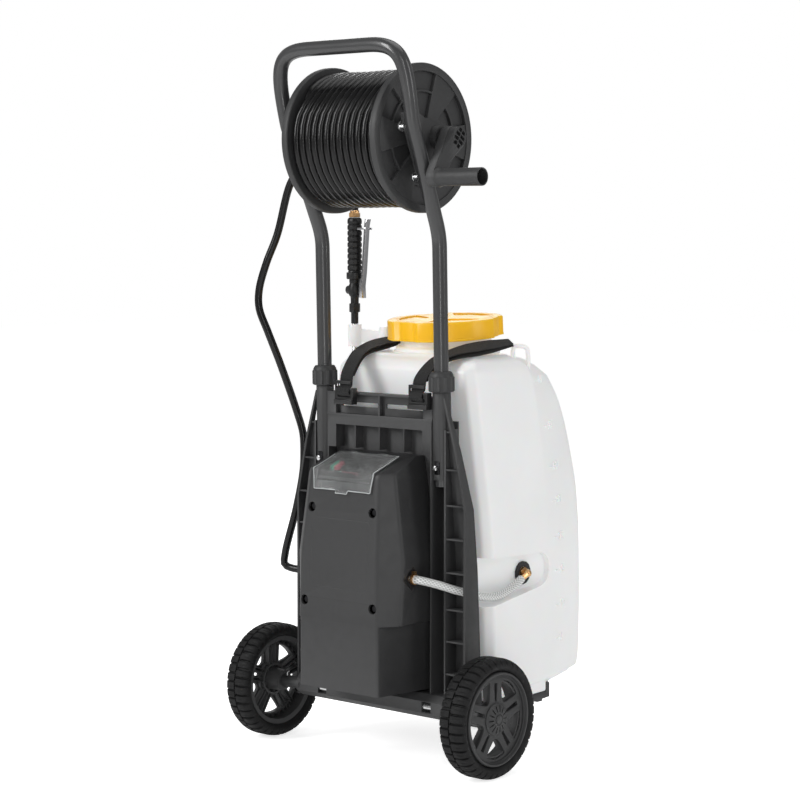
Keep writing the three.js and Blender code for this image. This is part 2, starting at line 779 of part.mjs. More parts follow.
function strap(word) {
  const line = STRAP_LINE[word];
  const sections = line.map((p, i) => {
    const before = line[Math.max(i - 1, 0)];
    const after = line[Math.min(i + 1, line.length - 1)];
    const run = after.clone().sub(before).normalize();
    const width = V(1, 0, 0).addScaledVector(run, -run.x).setLength(STRAP_HALF[i]);
    width.applyAxisAngle(run, THREE.MathUtils.degToRad(STRAP_TWIST[word][i]));
    const up = width.clone().cross(run).setLength(1.2);
    return [
      p.clone().add(width).add(up),
      p.clone().sub(width).add(up),
      p.clone().sub(width).sub(up),
      p.clone().add(width).sub(up),
    ];
  });
  return loft(sections);
}

function buckle(word) {
  const x = BUCKLE_X[word];
  const plate = slab(x - 18.5, x + 18.5, -17.5, FRAME_FRONT_Y - GAP, 534, 559);
  const ladder = slab(x - 18.5, x + 18.5, -20, -8, 534, 541);
  const slot = slab(x - 13, x + 13, -25, 0, 545, 549.5);
  // a cheek with a square eye carries the bar that presses on the webbing
  const cheek = slab(x - 18.5, x - 16.1, -17.5, -10, 558, 570);
  const bar = slab(x - 18.5, x + 13, -17.5, -14.6, 565, 570);
  const eye = slab(x - 25, x - 10, -14.2, -11, 561, 565);
  return cut(join(plate, ladder, cheek, bar), slot, eye);
}

for (const word of ["right", "left"]) {
  add(`tank_strap_${word}`, strap(word), "webbing");
  add(`strap_buckle_${word}`, buckle(word), "black_plastic");
}

// ---------------------------------------------------------------- pump box and what it holds
const BOX_BACK_Y = PANEL_Y - GAP;
const BOX_LEVELS = [
  // height, front half width and y, bulge half width and y, back half width
  [112.5, 79, -98.5, 82, -75, 92],
  [216, 78.5, -98.5, 83, -75, 95],
  [218.5, 78.5, -98.5, 102, -72, 98],
  [312, 76, -97, 106, -70, 99.7],
  [432, 68, -84, 88, -67, 83],
  [441, 66, -82.5, 85, -66, 81],
  [463.5, 62, -10, 76, -9, 77],
];

function boxOutline([z, frontX, frontY, bulgeX, bulgeY, backX], inset = 0) {
  const half = [
    [frontX - inset, frontY + inset],
    [bulgeX - inset, bulgeY + inset * 0.4],
    [backX - inset, -5],
    [backX - inset, BOX_BACK_Y + (inset > 0 ? 1 : 0)],
  ];
  return mirrored(half).map(([x, y]) => V(x, y, z));
}

const SCREWS = [
  [61, 384],
  [-61, 384],
  [68.6, 243],
  [-68.6, 243],
];
const screwFace = (z) => (z > 312 ? -97 + (z - 312) * 0.108 : -98.2);

function pumpBox() {
  const outer = loft(BOX_LEVELS.map((level) => boxOutline(level)));
  const inside = loft(
    BOX_LEVELS.map((level, i) => {
      const [z, ...rest] = level;
      const lift = i === 0 ? 3 : i === BOX_LEVELS.length - 1 ? -3 : 0;
      return boxOutline([z + lift, ...rest], 3);
    }),
  );
  // diamond pocket round each hose port
  const diamonds = [1, -1].map((s) =>
    hull([
      V(s * 97, -58, PORT_Z),
      V(s * 97, -34, PORT_Z),
      V(s * 97, PORT_Y, PORT_Z + 13),
      V(s * 97, PORT_Y, PORT_Z - 13),
      V(s * 110, -80, PORT_Z + 2),
      V(s * 110, -24, PORT_Z - 2),
      V(s * 110, PORT_Y, PORT_Z + 26),
      V(s * 110, PORT_Y, PORT_Z - 26),
    ]),
  );
  const pads = [1, -1].map((s) =>
    slab(Math.min(s * 93, s * 100), Math.max(s * 93, s * 100), -62, -30, PORT_Z - 18, PORT_Z + 18),
  );
  const portHoles = [1, -1].map((s) => rod(V(s * 80, PORT_Y, PORT_Z), V(s * 120, PORT_Y, PORT_Z), 8, 14));
  const screwHoles = SCREWS.map(([x, z]) => rod(V(x, -120, z), V(x, screwFace(z) + 7, z), 5, 12));
  const controlBay = slab(-54, 54, -95, -30, 425, 480);
  const shell = join(cut(outer, inside), ...pads);
  return cut(shell, ...diamonds, ...portHoles, ...screwHoles, controlBay);
}
add("pump_box", pumpBox(), "dark_plastic");

SCREWS.forEach(([x, z], i) => {
  const head = V(x, screwFace(z) + 4.6, z);
  const tail = head.clone().setY(screwFace(z) + 14);
  add(`box_screw_${i + 1}`, rod(head, tail, 4.4, 10, 3), "steel");
});

add("battery", slab(-70, 70, -84, -18, 115.8, 204), "blue_case");
add("pump_head", slab(-28, 28, -74, -18, 258, 312), "black_plastic");
add("pump_motor", rod(V(0, PORT_Y, 312 + GAP), V(0, PORT_Y, 392), 22, 20), "steel");

const PANEL_LOW = [-80, 431];
const PANEL_SLOPE = Math.atan2(22, 47);
// Seats a small upright piece on the control panel's slope, a distance up from its lower edge.
function onPanel(geometry, x, up) {
  const [y, z] = PANEL_LOW;
  geometry.rotateX(PANEL_SLOPE);
  return geometry.translate(x, y + up * Math.cos(PANEL_SLOPE), z + up * Math.sin(PANEL_SLOPE));
}

function controlPanel() {
  const slope = plateYZ(
    [
      [-80, 427],
      [-80, 431],
      [-33, 453],
      [-33, 449],
    ],
    -53.5,
    53.5,
  );
  const backWall = slab(-53.5, 53.5, -34, -30.6, 436, 453);
  const chargeSocket = onPanel(rod(V(0, 0, -1), V(0, 0, 4), 6, 12), 20, 24);
  const display = onPanel(slab(-7, 7, -12, 12, -1, 2), 41, 24);
  return join(slope, backWall, chargeSocket, display);
}
add("control_panel", controlPanel(), "black_plastic");
add("rocker_switch", onPanel(slab(-7, 7, -9, 9, 1.7, 5.2), -34, 24), "red_plastic");
add("pressure_knob", onPanel(rod(V(0, 0, GAP), V(0, 0, 6), 9, 16), -4, 24), "black_plastic");

function clearCover() {
  const strip = (halfTop, halfLow, upper, lower) =>
    hull(
      [1, -1].flatMap((s) => [
        ...upper.map(([y, z]) => V(s * halfTop, y, z)),
        ...lower.map(([y, z]) => V(s * halfLow, y, z)),
      ]),
    );
  const back = [
    [-28, 463.5],
    [-28, 461.8],
  ];
  const bend = [
    [-84.5, 443],
    [-86.4, 441],
    [-84.6, 441.1],
  ];
  const low = [
    [-89.6, 413],
    [-88, 412.8],
  ];
  const top = strip(60, 60.5, back, [bend[0], bend[2]]);
  const front = strip(60.5, 56, bend, low);
  const tab = slab(-11, 11, -92, -88.4, 408.5, 414);
  const knuckles = [-30, 30].map((x) => rod(V(x - 7, -27.5, 463), V(x + 7, -27.5, 463), 2, 8));
  return join(top, front, tab, ...knuckles);
}
add("clear_cover", clearCover(), "clear_plastic");

// ---------------------------------------------------------------- hoses and their fittings
function pumpFitting(side) {
  const at = (x) => V(side * x, PORT_Y, PORT_Z);
  return join(rod(at(28 + GAP), at(PORT_X - 1.2), 5, 10), rod(at(88), at(95), 7.4, 6));
}
add("suction_fitting", pumpFitting(1), "brass");
add("outlet_fitting", pumpFitting(-1), "brass");

const SUCTION_ROUTE = [
  V(PORT_X + GAP, PORT_Y, PORT_Z),
  V(111, PORT_Y, PORT_Z),
  V(121, -33, 281),
  V(133, -18, 275.5),
  V(147, -1, 268),
  V(157, 18, 262),
  V(160, 42, 254.5),
  V(160, 77, 250),
  V(155, 110, 253),
  V(151.5, 138, 260.5),
  V(150.4, 152.6, 267.1),
];
add("suction_hose", tube(smooth(SUCTION_ROUTE, 20), 6.25, 8), "clear_plastic");

const TANK_PORT = V(GROOVE_X, 167, 274);
function tankElbow() {
  const corner = TANK_PORT.clone().setX(151);
  const nut = rod(TANK_PORT.clone().setX(GROOVE_X + GAP), TANK_PORT.clone().setX(146), 9.5, 6);
  const stem = rod(TANK_PORT.clone().setX(144), corner, 5.5, 10);
  const ball = new THREE.SphereGeometry(6.6, 8, 6).translate(corner.x, corner.y, corner.z);
  const barb = rod(corner, V(150.4, 153.4, 267.5), 5, 10);
  return join(nut, stem, ball, barb);
}
add("tank_elbow", tankElbow(), "brass");
const GASKET = [
  [10.2, GAP],
  [18, GAP],
  [18, 3],
  [10.2, 3],
];
add("port_gasket", turned(GASKET, 14, TANK_PORT, V(1, 0, 0)), "rubber");

const DELIVERY_ROUTE = [
  V(-PORT_X - GAP, PORT_Y, PORT_Z),
  V(-111, PORT_Y, PORT_Z),
  V(-121, -33, 281),
  V(-133, -18, 275.5),
  V(-147, -1, 268),
  V(-156, 17, 263),
  V(-169, 33.5, 261.5),
  V(-190, 31, 261),
  V(-212, 26, 261.5),
  V(-226, 22, 267),
  V(-223, 20, 285),
  V(-198, 20, 360),
  V(-183, 20, 420),
  V(-181, 20, 450),
  V(-183, 20, 480),
  V(-193, 18, 511),
  V(-203, -10, 590),
  V(-215, -25, 640),
  V(-229, -30, 677),
  V(-229, -30, 705),
  V(-215, -28, 747),
  V(-199, -20, 791),
  V(-175, -15, 870),
  V(-155, -11, 897),
  V(-143.4, -9.8, 914.4),
  V(-139.9, -9.6, 920.4),
];
add("delivery_hose", tube(smooth(DELIVERY_ROUTE, 56), HOSE_R, 8), "hose");

// The gun's end of the hose climbs over the reel's flange on to the back of the coil.
const GUN_HOSE_ROUTE = [
  V(GUN_X, GUN_Y, 830 + GAP),
  V(-173, GUN_Y, 858),
  V(-154, 133, 888),
  V(-122, 127, 913),
  V(-92, 116, 928),
  V(-66, 99.8, 937),
];
add("gun_hose", tube(smooth(GUN_HOSE_ROUTE, 16), HOSE_R, 8), "hose");

// ---------------------------------------------------------------- handle
const onSide = (side, [x, y, z]) => V(side * x, y, z);

// One leg of the handle from its lower end up to the middle of the grip bar.
function handleLeg(side) {
  const low = tubeAt(side, TUBE_END_Z);
  const bend = onSide(side, BEND);
  const top = onSide(side, LEG_TOP);
  const lowStart = bend.clone().lerp(low, 0.03);
  const lowEnd = bend.clone().lerp(top, 0.07);
  const lowBend = new THREE.QuadraticBezierCurve3(lowStart, bend, lowEnd).getPoints(2);
  const shoulder = V(side * 129, -92, 1040);
  const corner = V(side * 128, -96, BAR_Z);
  const barEnd = V(side * BAR_HALF, BAR_Y, BAR_Z);
  const topBend = new THREE.CubicBezierCurve3(top, shoulder, corner, barEnd).getPoints(7);
  return [low, ...lowBend, ...topBend];
}

// Where the slanted leg is at a height, and the bolts that cross it.
function legAt(side, z) {
  const part = (z - BEND[2]) / (LEG_TOP[2] - BEND[2]);
  return onSide(side, BEND).lerp(onSide(side, LEG_TOP), part);
}
const BOLT_Z = { high: 949, low: 877 };
function acrossLeg(side, z, from, to, radius, sides) {
  const centre = legAt(side, z);
  return rod(centre.clone().setX(side * from), centre.clone().setX(side * to), radius, sides);
}

const HANDLE_PATH = [...handleLeg(1), ...handleLeg(-1).reverse()];
const boltHoles = [1, -1].flatMap((side) =>
  Object.values(BOLT_Z).map((z) => acrossLeg(side, z, 95, 145, 3.5, 8)),
);
add("handle_tube", cut(tube(HANDLE_PATH, TUBE_R, 12, TUBE_R - 1.5), ...boltHoles), "grey_paint");

function collar(side) {
  const ribs = 9;
  const outline = [];
  for (let i = 0; i < ribs; i++) {
    for (const [turn, r] of [
      [0.12, 19.5],
      [0.5, 19.5],
      [0.62, 18.2],
      [1, 18.2],
    ]) {
      const a = (2 * Math.PI * (i + turn)) / ribs;
      outline.push([r * Math.cos(a), r * Math.sin(a)]);
    }
  }
  const height = COLLAR_TOP_Z - SOCKET_TOP_Z - 0.9;
  const body = plateXY(outline, 0, height - 5);
  const cone = rod(V(0, 0, height - 5.5), V(0, 0, height), 18.2, 24, 15);
  const shape = toGeometry(cut(join(body, cone), rod(V(0, 0, -5), V(0, 0, 60), TUBE_R + 0.35, 24)));
  shape.rotateX(Math.atan(TUBE_LEAN));
  return shape.translate(side * TUBE_X, tubeY(SOCKET_TOP_Z), SOCKET_TOP_Z + 0.9);
}

function lockPin(side) {
  const face = tubeY(PIN_Z) - TUBE_R - GAP;
  const x0 = side * TUBE_X;
  const slide = slab(x0 - 4.6, x0 + 4.6, face - 2.4, face - 0.4, PIN_Z - 9, PIN_Z + 9);
  return join(slide, rod(V(x0, face - 2, PIN_Z), V(x0, face - 8, PIN_Z), 3.6, 12, 3));
}

onBothSides((side, word) => {
  add(`lock_collar_${word}`, collar(side), "dark_plastic");
  add(`lock_pin_${word}`, lockPin(side), "steel");
});

// ---------------------------------------------------------------- reel, brackets and crank
const SPOKES = 6;
const SPOKE_HALF = THREE.MathUtils.degToRad(15);
const FIRST_SPOKE = THREE.MathUtils.degToRad(32); // from straight up, towards the tank

// A wedge of the flange between two radii, drawn at its place round the axle.
function flangeWedge(side, middle, half, inner, outer, x0, x1, steps) {
  const outline = [];
  const at = (r, a) => [REEL_Y + r * Math.sin(a), REEL_Z + r * Math.cos(a)];
  for (let k = 0; k <= steps; k++) outline.push(at(outer, middle - half + (2 * half * k) / steps));
  for (let k = steps; k >= 0; k--) outline.push(at(inner, middle - half + (2 * half * k) / steps));
  const [a, b] = spanX(side, x0, x1);
  return plateYZ(outline, a, b);
}

function reelDrum() {
  const half = [
    [10.5, 78],
    [DRUM_R - 4, 78],
    [DRUM_R - 4, 0],
  ];
  const outer = [
    [DRUM_R, 0],
    [DRUM_R, FLANGE_INNER_X],
    [FLANGE_R - 2, FLANGE_INNER_X],
    [FLANGE_R, FLANGE_INNER_X + 2],
    [FLANGE_R, FLANGE_X],
    [FLANGE_R - 12, FLANGE_X],
    [FLANGE_R - 12, 86],
    [32, 86],
    [30, FLANGE_X],
    [10.5, FLANGE_X],
  ];
  const flip = (list) => list.map(([r, x]) => [r, -x]).reverse();
  const profile = [...outer, ...half, ...flip(half).slice(1), ...flip(outer).slice(0, -1)];
  const centre = V(0, REEL_Y, REEL_Z);
  const pieces = [turned(profile, 24, centre, V(1, 0, 0))];
  for (const side of [1, -1]) {
    for (let i = 0; i < SPOKES; i++) {
      const middle = FIRST_SPOKE + (2 * Math.PI * i) / SPOKES;
      pieces.push(flangeWedge(side, middle, SPOKE_HALF, 28, FLANGE_R - 10, 85, 91.5, 1));
      const pocket = middle + Math.PI / SPOKES;
      pieces.push(flangeWedge(side, pocket, SPOKE_HALF + 0.03, 68, 70.5, 85, 91, 1));
    }
  }
  // the crank's shaft leaves the drum on the right
  pieces.push(rod(centre.clone().setX(74), centre.clone().setX(133), 9.5, 16));
  pieces.push(rod(centre.clone().setX(79), centre.clone().setX(86), 16, 16));
  return join(...pieces);
}
add("reel_drum", reelDrum(), "dark_plastic");

function hoseCoil() {
  const half = (COIL_TURNS * COIL_PITCH) / 2 - 0.2;
  const profile = [[DRUM_R + GAP, -half]];
  for (let i = 0; i < COIL_TURNS; i++) {
    const x = -half + (2 * half * i) / COIL_TURNS;
    profile.push([COIL_R - 4, x]);
    profile.push([COIL_R, x + COIL_PITCH * 0.5]);
  }
  profile.push([COIL_R - 4, half], [DRUM_R + GAP, half]);
  return turned(profile, 24, V(0, REEL_Y, REEL_Z), V(1, 0, 0));
}
add("wound_hose", hoseCoil(), "hose");

// A plate bolted to the slanted leg that reaches back to the reel's axle.
function reelBracket(side) {
  const [x0, x1] = spanX(side, 104, 117);
  const outline = [
    [legAt(1, 865).y, 865],
    [-12, 886],
    [12, 908],
    [19, 934],
    [13, 952],
    [-8, 960],
    [-36, 962],
    [-50, 968],
    [legAt(1, 968).y, 968],
  ];
  const at = (x) => V(side * x, REEL_Y, REEL_Z);
  const hubEnd = side > 0 ? 128 : 118;
  const body = join(plateYZ(outline, x0, x1), rod(at(FLANGE_X + 1.2), at(hubEnd), 18, 20));
  const leg = tube(handleLeg(side), TUBE_R + 0.45, 12);
  const holes = Object.values(BOLT_Z).map((z) => acrossLeg(side, z, 95, 145, 3.5, 8));
  if (side > 0) return cut(body, leg, ...holes, rod(at(80), at(150), 10, 16));
  return join(cut(body, leg, ...holes), rod(at(FLANGE_X + 3), at(84), 9.8, 16));
}

onBothSides((side, word) => {
  add(`reel_bracket_${word}`, reelBracket(side), "dark_plastic");
  for (const place of ["high", "low"]) {
    const z = BOLT_Z[place];
    const bolt = join(acrossLeg(side, z, 99, 133, 3.1, 8), acrossLeg(side, z, 98, 103.6, 6, 6));
    add(`bracket_bolt_${place}_${word}`, bolt, "steel");
  }
});

function swivelElbow() {
  const corner = V(-132, REEL_Y, REEL_Z);
  const run = rod(V(-118 - GAP, REEL_Y, REEL_Z), corner, 8, 12);
  const ball = new THREE.SphereGeometry(8.6, 8, 6).translate(corner.x, corner.y, corner.z);
  return join(run, ball, rod(corner, V(-139.4, -9.6, 921.3), 6.5, 12));
}
add("swivel_elbow", swivelElbow(), "brass");

function crankArm() {
  const hubEnd = (x, r) => disc(r, 14).map((p) => V(x, REEL_Y + p.x, REEL_Z + p.y));
  const gripEnd = (x, r) => disc(r, 12).map((p) => V(x, CRANK_Y + p.x, CRANK_Z + p.y));
  const arm = hull([...hubEnd(137, 17), ...hubEnd(149.4, 16), ...gripEnd(137, 14), ...gripEnd(149.4, 13)]);
  const [ribY, ribZ] = [REEL_Y + 0.45 * (CRANK_Y - REEL_Y), REEL_Z + 0.45 * (CRANK_Z - REEL_Z)];
  const ribEnd = disc(13, 10).map((p) => V(149, ribY + p.x, ribZ + p.y));
  const rib = hull([...hubEnd(149, 15), ...hubEnd(160.8, 15), ...ribEnd]);
  const hub = rod(V(133 + GAP, REEL_Y, REEL_Z), V(140, REEL_Y, REEL_Z), 15, 18);
  const pin = rod(V(145, CRANK_Y, CRANK_Z), V(182, CRANK_Y, CRANK_Z), 5.6, 12);
  return join(arm, rib, hub, pin);
}
add("crank_arm", crankArm(), "dark_plastic");
const GRIP = [
  [6.1, 0],
  [14.5, 0],
  [14.5, 3],
  [12.8, 7],
  [13.3, 82],
  [11.3, 82],
  [11, 33],
  [6.1, 33],
];
add("crank_grip", turned(GRIP, 18, V(150, CRANK_Y, CRANK_Z), V(1, 0, 0)), "dark_plastic");

// ---------------------------------------------------------------- spray gun and lance
const gunRing = (low, high, r, sides = 16, topR = r) =>
  rod(V(GUN_X, GUN_Y, low), V(GUN_X, GUN_Y, high), r, sides, topR);
const LEVER_PIVOT = [GUN_X + 15.5, 703];

function gunBody() {
  const pieces = [gunRing(731, 818.5, 10.6, 10)];
  for (let z = 737; z < 800; z += 20) pieces.push(gunRing(z, z + 10, 11.6, 10));
  pieces.push(gunRing(720, 731.2, 13, 16));
  pieces.push(gunRing(690, 720.5, 8.8, 10));
  pieces.push(gunRing(681, 690.5, 6.5, 12));
  pieces.push(gunRing(667, 681.5, 8.8, 6));
  pieces.push(gunRing(649, 667.5, 5.9, 12));
  pieces.push(slab(GUN_X + 4, GUN_X + 12.9, GUN_Y - 3, GUN_Y + 3, 697, 707));
  return join(...pieces);
}
add("gun_body", gunBody(), "black_plastic");
add("hose_nut", gunRing(818.5 + GAP, 830, 8.6, 6), "brass");

function lever() {
  const [x, z] = LEVER_PIVOT;
  const outline = [
    [x - 2, z - 12],
    [x + 5, z - 13],
    [x + 4, z + 6],
    [x + 7, 731],
    [x + 13, 806],
    [x + 15.5, 816],
    [x + 11, 817],
    [x + 9, 806],
    [x + 3, 731],
    [x - 2, z + 10],
  ];
  return plateXZ(outline, GUN_Y - 5, GUN_Y + 5);
}
add("gun_lever", lever(), "steel");

// A wire hook that holds the squeezed lever: two arms either side of it and a crosspiece.
function lockWire() {
  const x = GUN_X + 12.4;
  const arms = [-8, 6.2].map((y) => slab(x, x + 18, GUN_Y + y, GUN_Y + y + 1.8, 799, 802.5));
  return join(...arms, slab(x, x + 1.4, GUN_Y - 8, GUN_Y + 8, 800.05, 801.45));
}
add("lever_lock", lockWire(), "steel");
add("lance_pipe", gunRing(172, 649 - GAP, 4.5, 10), "steel");
add("spray_nozzle", gunRing(152, 172 - GAP, 6, 10, 6.4), "brass");

export default cart;
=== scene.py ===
import json
import math

import bmesh
import bpy
from mathutils import Matrix, Quaternion, Vector

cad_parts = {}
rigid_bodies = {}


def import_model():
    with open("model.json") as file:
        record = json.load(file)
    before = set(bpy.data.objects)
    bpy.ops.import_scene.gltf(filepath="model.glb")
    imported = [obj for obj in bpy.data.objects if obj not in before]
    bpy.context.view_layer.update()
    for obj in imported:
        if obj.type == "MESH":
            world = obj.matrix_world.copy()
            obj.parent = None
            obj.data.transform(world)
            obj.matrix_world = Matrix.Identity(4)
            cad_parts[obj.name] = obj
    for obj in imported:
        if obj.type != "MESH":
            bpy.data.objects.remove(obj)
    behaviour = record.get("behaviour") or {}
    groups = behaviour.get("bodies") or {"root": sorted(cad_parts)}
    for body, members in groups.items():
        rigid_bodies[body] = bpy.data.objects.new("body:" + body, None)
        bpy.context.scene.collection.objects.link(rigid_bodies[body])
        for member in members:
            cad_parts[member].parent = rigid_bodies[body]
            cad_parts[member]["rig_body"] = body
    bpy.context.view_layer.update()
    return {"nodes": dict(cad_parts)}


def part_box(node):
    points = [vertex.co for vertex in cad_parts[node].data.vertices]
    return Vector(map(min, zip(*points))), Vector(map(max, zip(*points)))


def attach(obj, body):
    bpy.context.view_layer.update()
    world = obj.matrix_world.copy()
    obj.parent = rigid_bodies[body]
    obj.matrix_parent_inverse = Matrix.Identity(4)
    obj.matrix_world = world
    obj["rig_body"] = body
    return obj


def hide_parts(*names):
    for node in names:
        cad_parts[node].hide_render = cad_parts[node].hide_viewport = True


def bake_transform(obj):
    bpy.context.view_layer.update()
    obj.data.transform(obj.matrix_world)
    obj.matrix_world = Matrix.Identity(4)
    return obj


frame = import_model()
NODES = frame["nodes"]
DEPTH_CENTRE = 116.35  # the frame's zero depth in the cart's own millimetres
SIDES = (("right", 1), ("left", -1))


def at(x, y, z):
    """A place in the cart's own millimetres, as a point of the frame in metres."""
    return Vector((x, y - DEPTH_CENTRE, z)) / 1000


# ---------------------------------------------------------------- camera, floor and light
def make_camera():
    data = bpy.data.cameras.new("camera")
    data.lens = 100.6
    data.sensor_width = 36
    camera = bpy.data.objects.new("camera", data)
    bpy.context.scene.collection.objects.link(camera)
    camera.location = (2.23806, -2.63842, 0.80371)
    look = Vector((0.02117, -0.09787, 0.5426)) - camera.location
    camera.rotation_euler = look.to_track_quat("-Z", "Y").to_euler()
    bpy.context.scene.camera = camera


def area_light(name, place, target, size, power):
    data = bpy.data.lights.new(name, "AREA")
    data.shape = "RECTANGLE"
    data.size = size[0]
    data.size_y = size[1]
    data.energy = power
    light = bpy.data.objects.new(name, data)
    bpy.context.scene.collection.objects.link(light)
    light.location = place
    look = Vector(target) - Vector(place)
    light.rotation_euler = look.to_track_quat("-Z", "Y").to_euler()


def make_light():
    """A white studio: the backdrop is pure white, the light in it is softer and comes from the front left."""
    bpy.context.scene.view_settings.view_transform = "Standard"
    world = bpy.data.worlds.new("studio")
    bpy.context.scene.world = world
    world.use_nodes = True
    tree = world.node_tree
    backdrop = tree.nodes["Background"]
    backdrop.inputs[0].default_value = (1, 1, 1, 1)
    backdrop.inputs[1].default_value = 1.0
    room = tree.nodes.new("ShaderNodeBackground")
    room.inputs[0].default_value = (1, 1, 1, 1)
    room.inputs[1].default_value = 0.3
    rays = tree.nodes.new("ShaderNodeLightPath")
    mix = tree.nodes.new("ShaderNodeMixShader")
    tree.links.new(rays.outputs["Is Camera Ray"], mix.inputs[0])
    tree.links.new(room.outputs[0], mix.inputs[1])
    tree.links.new(backdrop.outputs[0], mix.inputs[2])
    tree.links.new(mix.outputs[0], tree.nodes["World Output"].inputs["Surface"])
    area_light("key", (-1.3, -2.9, 2.2), (0, -0.1, 0.5), (0.8, 2.0), 66)
    area_light("side", (3.0, 0.9, 1.7), (0, 0.1, 0.5), (0.5, 2.2), 20)
    area_light("strip", (1.9, -2.2, 1.2), (0, 0, 0.6), (0.2, 2.2), 15)
    area_light("top", (0.2, 0.3, 3.0), (0, 0, 0.6), (1.8, 1.8), 16)
    area_light("back", (-2.0, 2.2, 2.0), (0, 0, 0.6), (1.2, 1.6), 16)


# ---------------------------------------------------------------- materials
class Look:
    """A principled material with its colour variation, roughness and bump built from nodes."""

    def __init__(self, name, colour, rough, metallic=0.0, **sockets):
        self.material = bpy.data.materials.new(name)
        self.material.use_nodes = True
        self.tree = self.material.node_tree
        self.shader = self.tree.nodes["Principled BSDF"]
        self.shader.inputs["Base Color"].default_value = (*colour, 1)
        self.shader.inputs["Roughness"].default_value = rough
        self.shader.inputs["Metallic"].default_value = metallic
        for socket, value in sockets.items():
            self.shader.inputs[socket.replace("_", " ")].default_value = value
        self.name = name
        self.colour = colour
        self.rough = rough
        self.normal = None

    def node(self, kind, **settings):
        made = self.tree.nodes.new(kind)
        for key, value in settings.items():
            setattr(made, key, value)
        return made

    def link(self, output, target):
        self.tree.links.new(output, target)

    def math(self, operation, a, b=0.0):
        node = self.node("ShaderNodeMath", operation=operation)
        for socket, value in ((node.inputs[0], a), (node.inputs[1], b)):
            if isinstance(value, (int, float)):
                socket.default_value = value
            else:
                self.link(value, socket)
        return node.outputs[0]

    def place(self, output="Object", scale=(1, 1, 1)):
        coords = self.node("ShaderNodeTexCoord")
        mapping = self.node("ShaderNodeMapping")
        mapping.inputs["Scale"].default_value = scale
        self.link(coords.outputs[output], mapping.inputs["Vector"])
        return mapping.outputs["Vector"]

    def noise(self, scale, detail=3.0, place=None):
        node = self.node("ShaderNodeTexNoise")
        node.inputs["Scale"].default_value = scale
        node.inputs["Detail"].default_value = detail
        self.link(place or self.place(), node.inputs["Vector"])
        return node.outputs["Fac"]

    def wave(self, scale, direction, place, distortion=0.0):
        node = self.node("ShaderNodeTexWave", bands_direction=direction)
        node.inputs["Scale"].default_value = scale
        node.inputs["Distortion"].default_value = distortion
        self.link(place, node.inputs["Vector"])
        return node.outputs["Fac"]

    def spread(self, fac, low, high, out_low, out_high):
        node = self.node("ShaderNodeMapRange")
        for i, value in enumerate((low, high, out_low, out_high)):
            node.inputs[i + 1].default_value = value
        self.link(fac, node.inputs[0])
        return node.outputs[0]

    def tint(self, fac, dark, light):
        """Lets the colour drift between two shades of itself."""
        ramp = self.node("ShaderNodeValToRGB")
        ramp.color_ramp.elements[0].position = 0.3
        ramp.color_ramp.elements[1].position = 0.7
        ramp.color_ramp.elements[0].color = (*[c * dark for c in self.colour], 1)
        ramp.color_ramp.elements[1].color = (*[min(1, c * light) for c in self.colour], 1)
        self.link(fac, ramp.inputs["Fac"])
        self.link(ramp.outputs["Color"], self.shader.inputs["Base Color"])
        return ramp

    def roughen(self, fac, amount):
        value = self.spread(fac, 0.3, 0.7, max(0.02, self.rough - amount), min(1, self.rough + amount))
        self.link(value, self.shader.inputs["Roughness"])

    def bump(self, height, strength, distance):
        node = self.node("ShaderNodeBump")
        node.inputs["Strength"].default_value = strength
        node.inputs["Distance"].default_value = distance
        self.link(height, node.inputs["Height"])
        if self.normal is not None:
            self.link(self.normal, node.inputs["Normal"])
        self.normal = node.outputs["Normal"]
        self.link(self.normal, self.shader.inputs["Normal"])

    def brighten_edges(self, ramp, amount):
        """Pale edges: the sharp convex edges show paler than the faces; rubbed wear on the plastics, a
        painted highlight on the lever steel.
        """
        geometry = self.node("ShaderNodeNewGeometry")
        edge = self.spread(geometry.outputs["Pointiness"], 0.52, 0.6, 0, amount)
        mix = self.node("ShaderNodeMix", data_type="RGBA")
        self.link(edge, mix.inputs[0])
        self.link(ramp.outputs["Color"], mix.inputs[6])
        mix.inputs[7].default_value = (*[min(1, c * 2.2 + 0.04) for c in self.colour], 1)
        self.link(mix.outputs[2], self.shader.inputs["Base Color"])


def moulded(name, colour, rough, grain=1400, depth=0.00006, wear=0.35, **sockets):
    """Injection-moulded plastic: spark-eroded grain, slight flow marks, rubbed edges."""
    look = Look(name, colour, rough, **sockets)
    ramp = look.tint(look.noise(9, 4), 0.93, 1.07)
    if wear:
        look.brighten_edges(ramp, wear)
    look.roughen(look.noise(60, 4), 0.06)
    look.bump(look.noise(grain, 2), 0.35, depth)
    look.bump(look.noise(14, 2), 0.1, 0.0006)
    return look


def metal(name, colour, rough, streak=(60, 60, 900), **sockets):
    """Plated or turned metal with fine drawn scratches and faint stains."""
    look = Look(name, colour, rough, 1.0, **sockets)
    look.tint(look.noise(40, 4), 0.86, 1.06)
    scratches = look.noise(30, 5, look.place("Object", streak))
    look.roughen(scratches, 0.08)
    look.bump(scratches, 0.12, 0.00003)
    return look


def rubber_look():
    look = Look("tyre_rubber", (0.0055, 0.0055, 0.0058), 0.66, Specular_IOR_Level=0.3)
    look.tint(look.noise(30, 5), 0.75, 1.45)
    look.roughen(look.noise(120, 4), 0.1)
    look.bump(look.noise(900, 3), 0.5, 0.00012)
    return look


def hose_look():
    look = Look("hose_pvc", (0.003, 0.003, 0.0032), 0.26, Specular_IOR_Level=0.35)
    look.tint(look.noise(12, 2), 0.85, 1.3)
    look.roughen(look.noise(10, 2), 0.04)
    look.bump(look.noise(2400, 2), 0.06, 0.00002)
    return look


def painted_look():
    """Smooth stoved paint on steel tube, with faint scuffs."""
    look = Look("handle_paint", (0.034, 0.0345, 0.0355), 0.3, Coat_Weight=0.35)
    look.tint(look.noise(8, 3), 0.94, 1.06)
    look.roughen(look.noise(7, 2), 0.04)
    look.bump(look.noise(1800, 2), 0.08, 0.00002)
    return look


